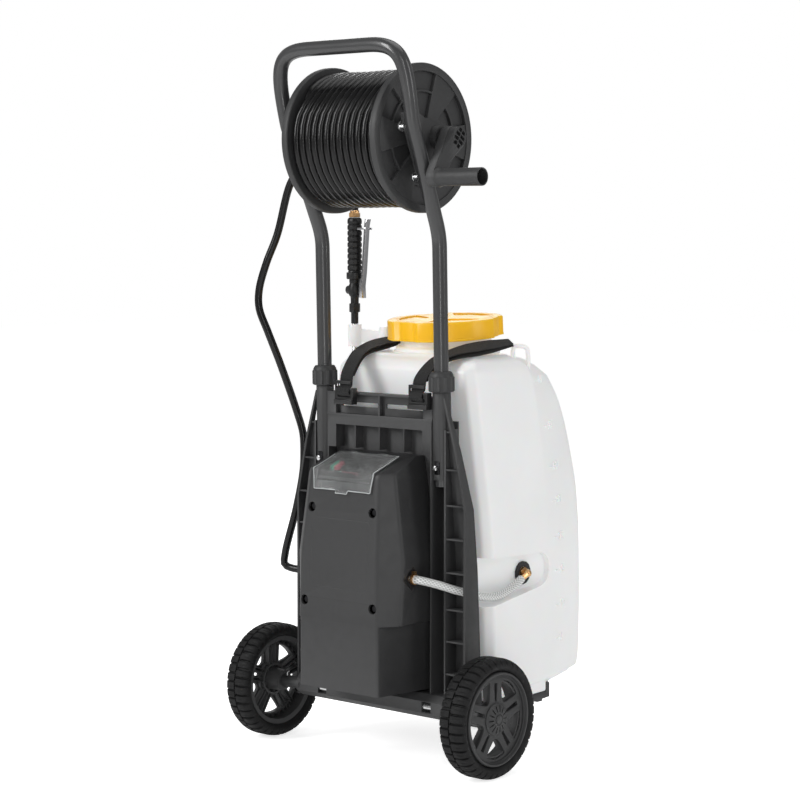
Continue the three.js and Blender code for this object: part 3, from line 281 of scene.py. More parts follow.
def lever_look():
    """Bright pressed steel that mirrors the dark room round it; its colour is set dark as a painted
    reflection of that room, and its edges carry a painted highlight.
    """
    look = Look("lever_steel", (0.2, 0.2, 0.205), 0.2, 1.0)
    ramp = look.tint(look.noise(30, 3), 0.85, 1.15)
    # Painted highlight: the edges are painted much paler than the faces, standing for the bright studio they
    # mirror.
    look.brighten_edges(ramp, 1.6)
    look.roughen(look.noise(40, 3, look.place("Object", (1, 1, 8))), 0.06)
    return look


def braided_look():
    """Clear hose over a white braid: two sets of threads that cross."""
    look = Look("hose_braid", (0.66, 0.67, 0.66), 0.28, Coat_Weight=0.4, Coat_Roughness=0.12)
    left = look.wave(1.0, "DIAGONAL", look.place("UV", (1.3, 5.0, 0)))
    right = look.wave(1.0, "DIAGONAL", look.place("UV", (1.3, -5.0, 0)))
    threads = look.math("MAXIMUM", left, right)
    ramp = look.tint(threads, 0.62, 1.22)
    ramp.color_ramp.elements[0].position = 0.55
    ramp.color_ramp.elements[1].position = 0.9
    look.roughen(threads, 0.05)
    look.bump(threads, 0.3, 0.0003)
    return look


def webbing_look():
    """Flat woven strap: ribs across it and a herringbone of warp threads along it."""
    look = Look("webbing", (0.005, 0.005, 0.0053), 0.75, Sheen_Weight=0.06, Sheen_Roughness=0.5)
    warp = look.wave(1.0, "X", look.place("UV", (4.5, 1, 0)))
    weft = look.wave(1.0, "DIAGONAL", look.place("UV", (3.0, 9.0, 0)))
    weave = look.math("MULTIPLY", warp, weft)
    look.tint(weave, 0.6, 2.2)
    look.roughen(look.noise(400, 3), 0.08)
    look.bump(weave, 0.8, 0.0005)
    return look


def tank_look():
    """Blow-moulded natural polyethylene: milky, with light passing a little way in, and a faint painted glow
    of its own that lifts its brightness.
    """
    look = Look("tank_plastic", (0.8, 0.805, 0.805), 0.4, Subsurface_Weight=0.25, Subsurface_Scale=0.008)
    # Painted light: a faint white glow, though the tank is no lamp, lifts the tank plastic and every piece
    # made in it.
    look.shader.inputs["Emission Color"].default_value = (1, 1, 1, 1)
    look.shader.inputs["Emission Strength"].default_value = 0.1
    look.tint(look.noise(6, 3), 0.975, 1.02)
    look.roughen(look.noise(18, 4), 0.07)
    look.bump(look.noise(900, 2), 0.18, 0.00005)
    look.bump(look.noise(10, 2), 0.22, 0.0012)
    return look


def lid_look():
    look = Look("lid_plastic", (1.0, 0.52, 0.004), 0.36, Subsurface_Weight=0.06, Subsurface_Scale=0.003)
    ramp = look.tint(look.noise(16, 4), 0.95, 1.05)
    look.brighten_edges(ramp, 0.25)
    look.roughen(look.noise(50, 4), 0.07)
    look.bump(look.noise(1200, 2), 0.25, 0.00005)
    return look


def clear_look():
    look = Look("clear_plastic", (0.93, 0.95, 0.95), 0.09, Transmission_Weight=0.9, IOR=1.3, Alpha=0.55)
    look.tint(look.noise(20, 4), 0.97, 1.0)
    look.roughen(look.noise(90, 5), 0.06)
    look.bump(look.noise(40, 3), 0.08, 0.0002)
    return look


def floor_look():
    """A white sweep: bright to the eye, and a softer source of light for the cart that stands on it."""
    look = Look("floor", (0.95, 0.95, 0.95), 0.8, Emission_Color=(1, 1, 1, 1))
    look.tint(look.noise(2, 2), 0.995, 1.005)
    rays = look.node("ShaderNodeLightPath")
    glow = look.spread(rays.outputs["Is Camera Ray"], 0, 1, 0.22, 0.72)
    look.link(glow, look.shader.inputs["Emission Strength"])
    return look


def box_look():
    """The pump box's own plastic, with the faint engraved outline of a blank panel on its front."""
    look = moulded("box_plastic", (0.025, 0.0252, 0.026), 0.5)
    coords = look.node("ShaderNodeTexCoord")
    split = look.node("ShaderNodeSeparateXYZ")
    look.link(coords.outputs["Object"], split.inputs[0])
    across = look.math("SUBTRACT", look.math("ABSOLUTE", split.outputs["X"]), 0.051)
    height = look.math("ABSOLUTE", look.math("SUBTRACT", split.outputs["Z"], 0.318))
    up = look.math("SUBTRACT", height, 0.046)
    across = look.math("MAXIMUM", across, 0.0)
    up = look.math("MAXIMUM", up, 0.0)
    squares = look.math("ADD", look.math("POWER", across, 2.0), look.math("POWER", up, 2.0))
    edge = look.math("SUBTRACT", look.math("SQRT", squares), 0.006)
    line = look.spread(look.math("ABSOLUTE", edge), 0.0, 0.0009, 0.0, 1.0)
    look.bump(line, 0.35, 0.0004)
    return look


def two_tone_look():
    """Rocker with a green end and a pink end."""
    look = Look("switch_plastic", (0.1, 0.5, 0.3), 0.4)
    coords = look.node("ShaderNodeTexCoord")
    split = look.node("ShaderNodeSeparateXYZ")
    look.link(coords.outputs["Object"], split.inputs[0])
    half = look.spread(split.outputs["X"], -0.0345, -0.0335, 0, 1)
    ramp = look.node("ShaderNodeValToRGB")
    ramp.color_ramp.elements[0].color = (0.05, 0.42, 0.25, 1)
    ramp.color_ramp.elements[1].color = (0.62, 0.06, 0.12, 1)
    look.link(half, ramp.inputs["Fac"])
    look.link(ramp.outputs["Color"], look.shader.inputs["Base Color"])
    look.roughen(look.noise(200, 3), 0.08)
    look.bump(look.noise(900, 2), 0.3, 0.00005)
    return look


GREY = (0.027, 0.0273, 0.028)
LOOKS = {
    "frame": moulded("frame_plastic", GREY, 0.55),
    "shelf": moulded("shelf_plastic", (0.02, 0.02, 0.021), 0.55),
    "black": moulded("black_plastic", (0.005, 0.005, 0.0053), 0.42, grain=1100, Specular_IOR_Level=0.4),
    "bolt": metal("blackened_steel", (0.03, 0.03, 0.032), 0.4),
    "rubber": rubber_look(),
    "seal": moulded("seal_rubber", (0.02, 0.02, 0.021), 0.75, grain=700, wear=0),
    "paint": painted_look(),
    "lever": lever_look(),
    "steel": metal("bright_steel", (0.8, 0.805, 0.81), 0.2),
    "brass": metal("brass", (0.72, 0.43, 0.2), 0.28, (300, 300, 300)),
    "tank": tank_look(),
    "lid": lid_look(),
    "clear": clear_look(),
    # painted highlight: the pale bead on the clear cover's edge stands for light caught in that edge
    "edge": moulded("clear_edge_highlight", (0.4, 0.42, 0.42), 0.2, grain=900),
    "hose": hose_look(),
    "braid": braided_look(),
    "webbing": webbing_look(),
    "battery": moulded("battery_case", (0.02, 0.06, 0.16), 0.5),
    "switch": two_tone_look(),
    "box": box_look(),
}


# ---------------------------------------------------------------- mesh helpers
def piece(name, mesh, look, body, angle=35, replaces=()):
    """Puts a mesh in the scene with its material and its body."""
    obj = bpy.data.objects.new(name, mesh)
    bpy.context.scene.collection.objects.link(obj)
    mesh.materials.clear()
    mesh.materials.append(LOOKS[look].material)
    mesh.shade_smooth()
    mesh.set_sharp_from_angle(angle=math.radians(angle))
    if body:
        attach(obj, body)
    if replaces:
        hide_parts(*replaces)
    return obj


def joined(*parts):
    """One mesh out of several lists of vertices and faces."""
    verts = []
    faces = []
    for part_verts, part_faces in parts:
        start = len(verts)
        verts.extend(part_verts)
        faces.extend([tuple(i + start for i in face) for face in part_faces])
    mesh = bpy.data.meshes.new("built")
    mesh.from_pydata([tuple(v) for v in verts], [], faces)
    outwards(mesh)
    return mesh


def outwards(mesh, merge=0.0):
    bm = bmesh.new()
    bm.from_mesh(mesh)
    if merge:
        bmesh.ops.remove_doubles(bm, verts=bm.verts, dist=merge)
    bmesh.ops.recalc_face_normals(bm, faces=bm.faces)
    bm.to_mesh(mesh)
    bm.free()


def rings(loops, closed=True):
    """A skin over rings of the same number of points, with both ends closed."""
    count = len(loops[0])
    verts = [p for loop in loops for p in loop]
    faces = []
    for s in range(len(loops) - 1):
        for i in range(count):
            j = (i + 1) % count
            faces.append((s * count + i, s * count + j, (s + 1) * count + j, (s + 1) * count + i))
    if closed:
        faces.append(tuple(range(count))[::-1])
        faces.append(tuple((len(loops) - 1) * count + i for i in range(count)))
    return verts, faces


def turned(profile, origin, axis=(0, 0, 1), sides=64, shape=None):
    """A turned body in millimetres; shape may change the radius by angle: shape(angle, r, h)."""
    turn = Vector((0, 0, 1)).rotation_difference(Vector(axis))
    loops = []
    for r, h in profile:
        loop = []
        for i in range(sides):
            angle = 2 * math.pi * i / sides
            radius = shape(angle, r, h) if shape else r
            spot = Vector((radius * math.cos(angle), radius * math.sin(angle), h))
            loop.append(at(*(turn @ spot + Vector(origin))))
        loops.append(loop)
    closed = profile[0] != profile[-1]
    return rings(loops, closed)


def block(low, high):
    """A block in millimetres between two corners."""
    loops = []
    for z in (low[2], high[2]):
        corners = [(low[0], low[1]), (high[0], low[1]), (high[0], high[1]), (low[0], high[1])]
        loops.append([at(x, y, z) for x, y in corners])
    return rings(loops)


def shape_of(data):
    """The mesh that a curve or a text makes."""
    holder = bpy.data.objects.new("shape", data)
    bpy.context.scene.collection.objects.link(holder)
    bpy.context.view_layer.update()
    ready = holder.evaluated_get(bpy.context.evaluated_depsgraph_get())
    mesh = bpy.data.meshes.new_from_object(ready)
    bpy.data.objects.remove(holder)
    return mesh


def parts_of(mesh):
    """A mesh as a list of points and a list of faces."""
    return [v.co.copy() for v in mesh.vertices], [tuple(p.vertices) for p in mesh.polygons]


def across(x, y, z, side=1):
    """Stands a plate square to the axle at a place: its X runs along the cart and its Y upwards."""
    return Matrix.Translation(at(x, y, z)) @ Matrix(((0, 0, side), (side, 0, 0), (0, 1, 0))).to_4x4()


def hexagonal(angle):
    """How far a hexagon reaches at an angle, where its corners reach 1."""
    step = math.pi / 3
    return math.cos(step / 2) / math.cos((angle % step) - step / 2)


def smooth_line(points, step):
    """Evenly spaced points on a smooth curve through the given ones, all in metres."""
    ends = [points[0] * 2 - points[1], *points, points[-1] * 2 - points[-2]]
    fine = []
    for i in range(1, len(ends) - 2):
        p0, p1, p2, p3 = ends[i - 1 : i + 3]
        t = [0.0]
        for a, b in ((p0, p1), (p1, p2), (p2, p3)):
            t.append(t[-1] + max((b - a).length, 1e-6) ** 0.5)
        for k in range(24):
            u = t[1] + (t[2] - t[1]) * k / 24
            a1 = p0.lerp(p1, (u - t[0]) / (t[1] - t[0]))
            a2 = p1.lerp(p2, (u - t[1]) / (t[2] - t[1]))
            a3 = p2.lerp(p3, (u - t[2]) / (t[3] - t[2]))
            b1 = a1.lerp(a2, (u - t[0]) / (t[2] - t[0]))
            b2 = a2.lerp(a3, (u - t[1]) / (t[3] - t[1]))
            fine.append(b1.lerp(b2, (u - t[1]) / (t[2] - t[1])))
    fine.append(points[-1])
    total = sum((b - a).length for a, b in zip(fine, fine[1:]))
    count = max(2, round(total / step))
    line = [fine[0]]
    walked = 0.0
    for a, b in zip(fine, fine[1:]):
        span = (b - a).length
        while len(line) < count and walked + span >= total * len(line) / count:
            line.append(a.lerp(b, (total * len(line) / count - walked) / span))
        walked += span
    line.append(fine[-1])
    return line


def swept(line, radius, sides=20, bore=0.0):
    """A round tube along a line in metres; hollow where a bore is given."""
    tangents = []
    for i in range(len(line)):
        ahead = line[min(i + 1, len(line) - 1)] - line[max(i - 1, 0)]
        tangents.append(ahead.normalized())
    start = Vector((0, 0, 1)) if abs(tangents[0].z) < 0.9 else Vector((1, 0, 0))
    side = tangents[0].cross(start).normalized()
    outer = []
    inner = []
    for i, (p, t) in enumerate(zip(line, tangents)):
        if i:
            side = tangents[i - 1].rotation_difference(t) @ side
            side = (side - t * side.dot(t)).normalized()
        other = t.cross(side)
        ring = [side * math.cos(a) + other * math.sin(a) for a in angles(sides)]
        outer.append([p + d * radius for d in ring])
        inner.append([p + d * bore for d in ring])
    if not bore:
        return rings(outer)
    return rings([*outer, *reversed(inner), outer[0]], closed=False)


def angles(count):
    return [2 * math.pi * i / count for i in range(count)]


def tube_piece(name, line, radius, look, sides=20, **more):
    """A swept tube whose UVs run in tube diameters along it and once round it."""
    mesh = joined(swept(line, radius, sides))
    walked = [0.0]
    for a, b in zip(line, line[1:]):
        walked.append(walked[-1] + (b - a).length)
    layer = mesh.uv_layers.new(name="along")
    for face in mesh.polygons:
        if len(face.loop_indices) != 4:
            continue
        turns = [mesh.loops[i].vertex_index % sides for i in face.loop_indices]
        wraps = max(turns) - min(turns) > 1
        for i, turn in zip(face.loop_indices, turns):
            v = (turn + (sides if wraps and turn == 0 else 0)) / sides
            u = walked[mesh.loops[i].vertex_index // sides] / (2 * radius)
            layer.data[i].uv = (u, v)
    return piece(name, mesh, look, more.pop("body", None), **more)


def cut_by(obj, *cutters):
    """Takes the cutters' shapes out of a piece."""
    for i, cutter in enumerate(cutters):
        mesh = cutter if isinstance(cutter, bpy.types.Mesh) else joined(cutter)
        tool = bpy.data.objects.new(f"cutter_{i}", mesh)
        bpy.context.scene.collection.objects.link(tool)
        change = obj.modifiers.new("cut", "BOOLEAN")
        change.operation = "DIFFERENCE"
        change.solver = "EXACT"
        change.object = tool
        bake(obj)
        bpy.data.objects.remove(tool)


def bake(obj, angle=35):
    """Makes a piece's modifiers part of its mesh."""
    bpy.context.view_layer.update()
    ready = obj.evaluated_get(bpy.context.evaluated_depsgraph_get())
    mesh = bpy.data.meshes.new_from_object(ready)
    obj.modifiers.clear()
    obj.data = mesh
    mesh.shade_smooth()
    mesh.set_sharp_from_angle(angle=math.radians(angle))


def refined(node, look, width=0.6, segments=2, angle=28):
    """A CAD node's shape with its flats merged and its edges rounded, standing for that node."""
    source = NODES[node]
    mesh = bpy.data.meshes.new(node)
    corners, faces = parts_of(source.data)
    mesh.from_pydata([tuple(v) for v in corners], [], faces)
    bm = bmesh.new()
    bm.from_mesh(mesh)
    bmesh.ops.remove_doubles(bm, verts=bm.verts, dist=2e-5)
    flat = math.radians(1.5)
    bmesh.ops.dissolve_limit(bm, angle_limit=flat, verts=bm.verts, edges=bm.edges)
    bmesh.ops.recalc_face_normals(bm, faces=bm.faces)
    bm.to_mesh(mesh)
    bm.free()
    obj = piece(f"{node}_finish", mesh, look, source["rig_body"], angle, (node,))
    if width:
        bevel = obj.modifiers.new("edges", "BEVEL")
        bevel.limit_method = "ANGLE"
        bevel.angle_limit = math.radians(angle)
        bevel.width = width / 1000
        bevel.segments = segments
        bevel.use_clamp_overlap = True
        bake(obj, 40)
    return obj


def plate(outline, holes, thickness, bevel, place):
    """A flat plate with rounded edges from an outline and its holes; place moves it into the frame."""
    curve = bpy.data.curves.new("plate", "CURVE")
    curve.dimensions = "2D"
    curve.fill_mode = "BOTH"
    curve.extrude = (thickness / 2 - bevel) / 1000
    curve.bevel_depth = bevel / 1000
    curve.bevel_resolution = 2
    for loop in (outline, *holes):
        spline = curve.splines.new("POLY")
        spline.points.add(len(loop) - 1)
        spline.use_cyclic_u = True
        for point, (x, y) in zip(spline.points, loop):
            point.co = (x / 1000, y / 1000, 0, 1)
    mesh = shape_of(curve)
    mesh.transform(place)
    outwards(mesh, 1e-6)
    return parts_of(mesh)


def rounded(corners, steps=5, keep=0.32):
    """Replaces each corner of a closed outline by a short arc."""
    out = []
    count = len(corners)
    for i, corner in enumerate(corners):
        here = Vector(corner)
        before = here.lerp(Vector(corners[i - 1]), keep)
        after = here.lerp(Vector(corners[(i + 1) % count]), keep)
        for k in range(steps + 1):
            t = k / steps
            out.append(before.lerp(here, t).lerp(here.lerp(after, t), t))
    return out


# ---------------------------------------------------------------- hoses
HOSE_R = 0.006
SUCTION_ROUTE = [
    at(100.3, -45.6, 285), at(111, -45.6, 285), at(121, -33, 281), at(133, -18, 275.5),
    at(147, -1, 268), at(157, 18, 262), at(160, 42, 254.5), at(160, 77, 250), at(155, 110, 253),
    at(151.5, 138, 260.5), at(150.4, 152.6, 267.1),
]
DELIVERY_ROUTE = [
    at(-100.3, -45.6, 285), at(-111, -45.6, 285), at(-121, -33, 281), at(-133, -18, 275.5),
    at(-147, -1, 268), at(-156, 17, 263), at(-169, 33.5, 261.5), at(-190, 31, 261),
    at(-212, 26, 261.5), at(-226, 22, 267), at(-223, 20, 285), at(-198, 20, 360), at(-183, 20, 420),
    at(-181, 20, 450), at(-183, 20, 480), at(-193, 18, 511), at(-203, -10, 590), at(-215, -25, 640),
    at(-229, -30, 677), at(-229, -30, 705), at(-215, -28, 747), at(-199, -20, 791), at(-175, -15, 870),
    at(-155, -11, 897), at(-143.4, -9.8, 914.4), at(-139.9, -9.6, 920.4),
]
GUN_HOSE_ROUTE = [
    at(-176, 134, 830.3), at(-173, 134, 858), at(-154, 133, 888), at(-122, 127, 913),
    at(-92, 116, 928), at(-66, 99.8, 937),
]
REEL = (0, -9.3, 934)
COIL_LAYERS = [96, 85.6, 75.2]  # centre-line radii of the wound hose, in millimetres
COIL_TURNS = 13
COIL_PITCH = 12.4
COIL_STEPS = 36  # points in a turn


def coil_line():
    """The wound hose, layer on layer: each turn lies square to the axle and steps over near the top."""
    line = []
    count = [COIL_TURNS, COIL_TURNS - 1, COIL_TURNS]
    turns = [(layer, k) for layer in range(3) for k in range(count[layer])]
    radii = list(reversed(COIL_LAYERS))

    def seat(layer, k):
        way = -1 if layer % 2 else 1
        return way * (k - (count[layer] - 1) / 2) * COIL_PITCH, radii[layer]

    for n, (layer, k) in enumerate(turns):
        x0, r0 = seat(layer, k)
        x1, r1 = seat(*turns[n + 1]) if n + 1 < len(turns) else (x0, r0)
        for j in range(COIL_STEPS):
            part = j / COIL_STEPS
            step = max(0.0, (part - 0.9) / 0.1)
            step = 3 * step**2 - 2 * step**3
            angle = 2 * math.pi * (part + 0.89)
            radius = r0 + (r1 - r0) * step + 0.3 * math.sin(5 * angle + n)
            x = x0 + (x1 - x0) * step
            line.append(at(x, REEL[1] + radius * math.sin(angle), REEL[2] + radius * math.cos(angle)))
    return line


def make_hoses():
    line = smooth_line(SUCTION_ROUTE, 0.006)
    stands_for = ("suction_hose",)
    hose = tube_piece("suction_hose_braided", line, 0.00625, "braid", 24, body="cart", replaces=stands_for)
    line = smooth_line(DELIVERY_ROUTE, 0.007)
    hose = tube_piece("delivery_hose_black", line, HOSE_R, "hose", 20, replaces=("delivery_hose",))
    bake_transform(hose)
    line = smooth_line(GUN_HOSE_ROUTE, 0.006)
    hose = tube_piece("gun_hose_black", line, HOSE_R, "hose", 20, body="cart", replaces=("gun_hose",))
    line = coil_line()
    hose = tube_piece("wound_hose_black", line, HOSE_R, "hose", 14, body="reel", replaces=("wound_hose",))


# ---------------------------------------------------------------- wheels
AXLE = (-12, 89)
WHEEL_X = 217.3


def tread(angle, r, h):
    """Radius of the tyre at an angle: blocks on both halves, set half a block apart."""
    if r < 79:
        return r
    turn = angle * 40 / (2 * math.pi) + (0.5 if h > 0 else 0.0)
    part = turn % 1.0
    if abs(h) < 0.9:
        return r - 2.4
    if part < 0.2:
        return r - (3.6 if r > 84 else 2.2)
    if 0.52 < part < 0.6 and 7 < abs(h) < 18:
        return r - 1.0
    return r


def tyre(word, side):
    half = [(89.0, 0.8), (89.0, 1.2), (89.0, 6.8), (89.0, 10.5), (88.2, 15.0), (86.2, 19.0), (83.5, 21.6)]
    half += [(80.5, 22.8), (78.5, 23.1), (75.5, 22.4), (72.0, 20.0), (70.0, 17.2)]
    profile = [(r, -h) for r, h in reversed(half)] + half + [(70.0, -17.2)]
    centre = (side * WHEEL_X, *AXLE)
    mesh = joined(turned(profile, centre, (side, 0, 0), 420, tread))
    piece(f"tyre_{word}_tread", mesh, "rubber", f"wheel_{word}", 30, (f"tyre_{word}",))


def spoke_holes():
    """The five long slots and the five wide windows of the wheel's face, as outlines."""
    holes = []
    for i in range(5):
        middle = math.radians(90 + 72 * i)
        slot = [(25, -3.0), (54, -4.6), (54, 4.6), (25, 3.0)]
        holes.append([turn_by(p, middle) for p in rounded(slot, 5, 0.14)])
        window = []
        for r, spread in ((29, -8), (46, -20.5), (59.5, -23.5), (61.5, 0), (59.5, 23.5), (46, 20.5), (29, 8)):
            a = math.radians(spread)
            window.append((r * math.cos(a), r * math.sin(a)))
        holes.append([turn_by(p, middle + math.radians(36)) for p in rounded(window, 4, 0.3)])
    return holes


def turn_by(point, angle):
    c, s = math.cos(angle), math.sin(angle)
    return (point[0] * c - point[1] * s, point[0] * s + point[1] * c)


def rim(word, side):
    centre = (side * WHEEL_X, *AXLE)
    out = (side, 0, 0)
    barrel = [
        (62.7, -15.2), (69.6, -16.9), (69.6, 16.9), (69.2, 21.0), (67.8, 22.6), (66.2, 22.6),
        (65.2, 21.4), (64.4, 18.6), (63.2, 17.6), (62.7, 12.0), (62.7, -15.2),
    ]
    hub = [(6.4, -22), (16, -22), (19, 15.2), (6.4, 15.2), (6.4, -22)]
    parts = [turned(barrel, centre, out, 96), turned(hub, centre, out, 48)]
    for inner, outer, depth in ((22, 25, -0.8), (55, 57.5, 3.2), (26.5, 28, 4)):
        ring = [(inner, depth), (outer, depth), (outer, 13.4), (inner, 13.4), (inner, depth)]
        parts.append(turned(ring, centre, out, 72))
    circle = [(64 * math.cos(a), 64 * math.sin(a)) for a in angles(72)]
    parts.append(plate(circle, spoke_holes(), 6.4, 1.1, across(centre[0] + side * 12.6, *AXLE, side)))
    # walls behind each spoke, radial ribs round the hub and short ribs out to the barrel
    walls = []
    for i in range(5):
        for lean in (-1, 1):
            for off in (-2.9, 2.9):
                a, b = lean * 6.2 + off, lean * 9 + off
                wall = [(20, a - 0.8), (62, b - 0.8), (62, b + 0.8), (20, a + 0.8)]
                walls.append([turn_by(p, math.radians(90 + 72 * i)) for p in wall])
    for i in range(30):
        rib = [(56.5, -0.6), (64, -0.6), (64, 0.6), (56.5, 0.6)]
        walls.append([turn_by(p, math.radians(12 * i + 6)) for p in rib])
    for i in range(10):
        rib = [(15, -0.8), (26, -0.8), (26, 0.8), (15, 0.8)]
        walls.append([turn_by(p, math.radians(36 * i + 18)) for p in rib])
    for wall in walls:
        parts.append(plate(wall, (), 14, 0.2, across(centre[0] + side * 7.4, *AXLE, side)))
    piece(f"rim_{word}_spokes", joined(*parts), "frame", f"wheel_{word}", 30, (f"rim_{word}",))


def hub_cap(word, side):
    place = (side * 233.3, *AXLE)
    low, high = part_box(f"hub_cap_{word}")
    reach = (high.z - low.z) * 500
    profile = [
        (0.0, 0.0),
        (reach, 0.0),
        (reach, 1.2),
        (reach * 0.93, 2.6), (reach * 0.78, 3.9), (reach * 0.56, 5.2), (reach * 0.36, 5.9),
        (reach * 0.33, 5.0), (reach * 0.29, 5.0), (reach * 0.26, 6.4), (reach * 0.12, 7.0),
        (0.01, 7.0),
    ]
    mesh = joined(turned(profile, place, (side, 0, 0), 56))
    obj = piece(f"hub_cap_{word}_dome", mesh, "frame", f"wheel_{word}", 30, (f"hub_cap_{word}",))
    inner, outer = reach * 0.46, reach * 0.86
    slot = rounded([(inner, -0.8), (outer, -1.3), (outer, 1.3), (inner, 0.8)], 3, 0.2)
    cutters = []
    for a in angles(14):
        outline = [turn_by(p, a) for p in slot]
        cutters.append(plate(outline, (), 8, 0.01, across(place[0] + side * 6.5, *AXLE, side)))
    cut_by(obj, joined(*cutters))


# ---------------------------------------------------------------- tank, mouth and lid
TANK_LEVELS = [
    (94, 53, 166, 141, 225, 108, 330),
    (104, 45, 175, 148, 231, 117, 341),
    (128, 45, 177, 148, 232, 118, 345),
    (214, 45, 176, 148, 231, 118, 347),
    (327, 45, 173, 148, 225, 118, 344),
    (388, 45, 166, 147, 219, 118, 337),
    (436, 45, 159, 146, 214, 117, 326),
    (494, 45, 151, 144, 206, 115, 310),
    (535, 45, 145.5, 142, 200, 113, 293),
    (571, 45, 140, 140, 192, 108, 272),
    (588, 46, 137.5, 136, 184, 100, 250),
    (600, 55, 128, 128, 174, 90, 228),
    (609, 68, 112, 112, 165, 78, 192),
]


def eased_levels(levels, parts):
    """More sections between the given ones, on curves that don't overshoot them."""
    out = []
    for i in range(len(levels) - 1):
        before = levels[max(i - 1, 0)]
        a, b = levels[i], levels[i + 1]
        after = levels[min(i + 2, len(levels) - 1)]
        for k in range(parts):
            t = k / parts
            row = []
            for p0, p1, p2, p3 in zip(before, a, b, after):
                m1 = (p2 - p0) / 2 if (p1 - p0) * (p2 - p1) > 0 else 0
                m2 = (p3 - p1) / 2 if (p2 - p1) * (p3 - p2) > 0 else 0
                limit = 2 * (p2 - p1)
                m1 = max(min(m1, max(limit, 0)), min(limit, 0))
                m2 = max(min(m2, max(limit, 0)), min(limit, 0))
                h = (2 * t**3 - 3 * t**2 + 1) * p1 + (t**3 - 2 * t**2 + t) * m1
                h += (3 * t**2 - 2 * t**3) * p2 + (t**3 - t**2) * m2
                row.append(h)
            row[0] = a[0] + (b[0] - a[0]) * t
            out.append(row)
    out.append(list(levels[-1]))
    return out


def tank_ring(level):
    z, front, corner_x, crease_x, crease_y, back_x, back_y = level
    half = [
        (corner_x - 14, front),
        (corner_x, front + 12),
        (crease_x, crease_y),
        (back_x, back_y),
        (back_x - 18, back_y + 4),
        (50, back_y + 5),
    ]
    corners = half + [(-x, y) for x, y in reversed(half)]
    ring = []
    for i, corner in enumerate(corners):
        here = Vector(corner)
        for other, steps in ((corners[i - 1], (3, 2, 1)), (corners[(i + 1) % len(corners)], (0, 1, 2, 3))):
            run = Vector(other) - here
            reach = min(9.0, run.length * 0.42)
            for k in steps:
                ring.append(here + run.normalized() * reach * k / 3)
    soft = []
    count = len(ring)
    for i in range(count):
        near = [ring[(i + k) % count] for k in (-2, -1, 0, 1, 2)]
        soft.append((near[0] + near[1] * 2 + near[2] * 3 + near[3] * 2 + near[4]) / 9)
    return [at(p.x, p.y, z) for p in soft]


MOUTH = at(0, 150, 655)
MOUTH_LEAN = Matrix.Rotation(math.radians(3.5), 4, "X")
MOUTH_TILT = Matrix.Translation(MOUTH) @ MOUTH_LEAN @ Matrix.Translation(-MOUTH)


def tipped(part):
    verts, faces = part
    return [MOUTH_TILT @ v for v in verts], faces


def groove_cutter():
    """The sheltered channel for the suction hose in the tank's right side."""
    outline = [(18, 236), (18, 313), (196, 303)]
    for i in range(1, 16):
        a = math.pi / 2 - math.pi * i / 16
        outline.append((200 + 25 * math.cos(a), 277 + 25 * math.sin(a)))
    outline.append((196, 251))
    loops = []
    for x, grow in ((139.6, -3.0), (140.4, -0.8), (142.5, 0.0), (200, 0.0)):
        middle = Vector((110, 275))
        loop = []
        for p in outline:
            away = Vector(p) - middle
            loop.append(at(x, *(middle + away * (1 + grow / away.length))))
        loops.append(loop)
    return rings(loops)


def tank():
    body = joined(rings([tank_ring(level) for level in eased_levels(TANK_LEVELS, 4)]))
    obj = piece("tank_moulding", body, "tank", "cart", 45, ("tank",))
    cut_by(obj, groove_cutter())
    neck = [
        (64, 590), (84, 590), (84, 611), (82, 614.5), (79, 616), (78.6, 620), (76, 622.4),
        (71.6, 623.4), (71, 626), (71, 630.6), (68.4, 633), (68.4, 655), (64, 655), (64, 590),
    ]
    parts = [tipped(turned(neck, (0, 150, 0), sides=96))]
    for s in (1, -1):
        foot = [(153, 173), (149.5, 216), (118, 216), (118, 173)]
        loops = []
        for z, grow in ((83.4, -2), (85.5, 0), (124, 0), (130, -6)):
            loops.append([at(s * (x + (grow if x > 130 else 0)), y, z) for x, y in foot])
        parts.append(rings(loops))
        lug = [
            at(s * 111, 180, 592), at(s * 111, 180, 612), at(s * 112.5, 181.5, 619.5),
            at(s * 119, 188, 621), at(s * 126, 195, 617), at(s * 127.4, 196.4, 608),
            at(s * 127.4, 196.4, 574),
        ]
        parts.append(swept(smooth_line(lug, 0.003), 0.0036, 14))
    parts.append(block((-60, 70, 83.4), (60, 100, 97)))
    parts.append(block((-60, 225, 83.4), (60, 255, 97)))
    parts.append(turned([(7, 575), (7, 611), (6, 612), (0.01, 612)], (-125, 151, 0), sides=32))
    piece("tank_neck_and_feet", joined(*parts), "tank", "cart", 30)


def litre_scale():
    """Raised litre marks on the tank's slanted corner: generic numbers with a short line each."""
    heights = {40: 568, 35: 496, 30: 432, 25: 378, 20: 320, 15: 268, 10: 213, 5: 160}
    levels = eased_levels(TANK_LEVELS, 4)
    parts = []
    for litres, z in heights.items():
        upper = next(i for i, row in enumerate(levels) if row[0] >= z)
        low, high = levels[upper - 1], levels[upper]
        part = (z - low[0]) / (high[0] - low[0])
        level = [a + (b - a) * part for a, b in zip(low, high)]
        crease = Vector((level[3], level[4]))
        back = Vector((level[5], level[6]))
        run = (back - crease).normalized()
        out = Vector((run.y, -run.x))
        spot = crease.lerp(back, 0.3) + out * 1.1
        text = bpy.data.curves.new("scale", "FONT")
        text.body = str(litres)
        text.size = 0.017
        text.extrude = 0.0011
        text.bevel_depth = 0.00012
        text.align_y = "CENTER"
        mesh = shape_of(text)
        turn = Matrix(((run.x, 0, out.x), (run.y, 0, out.y), (0, 1, 0))).to_4x4()
        place = Matrix.Translation(at(spot.x, spot.y, z)) @ turn
        mesh.transform(place)
        parts.append(parts_of(mesh))
        line = [Vector((x / 1000, y / 1000, 0)) for x, y in ((-14, -0.6), (-4, -0.6), (-4, 0.6), (-14, 0.6))]
        loops = [[place @ (p + Vector((0, 0, h))) for p in line] for h in (-0.0011, 0.0011)]
        parts.append(rings(loops))
    piece("litre_scale", joined(*parts), "tank", "cart", 30)


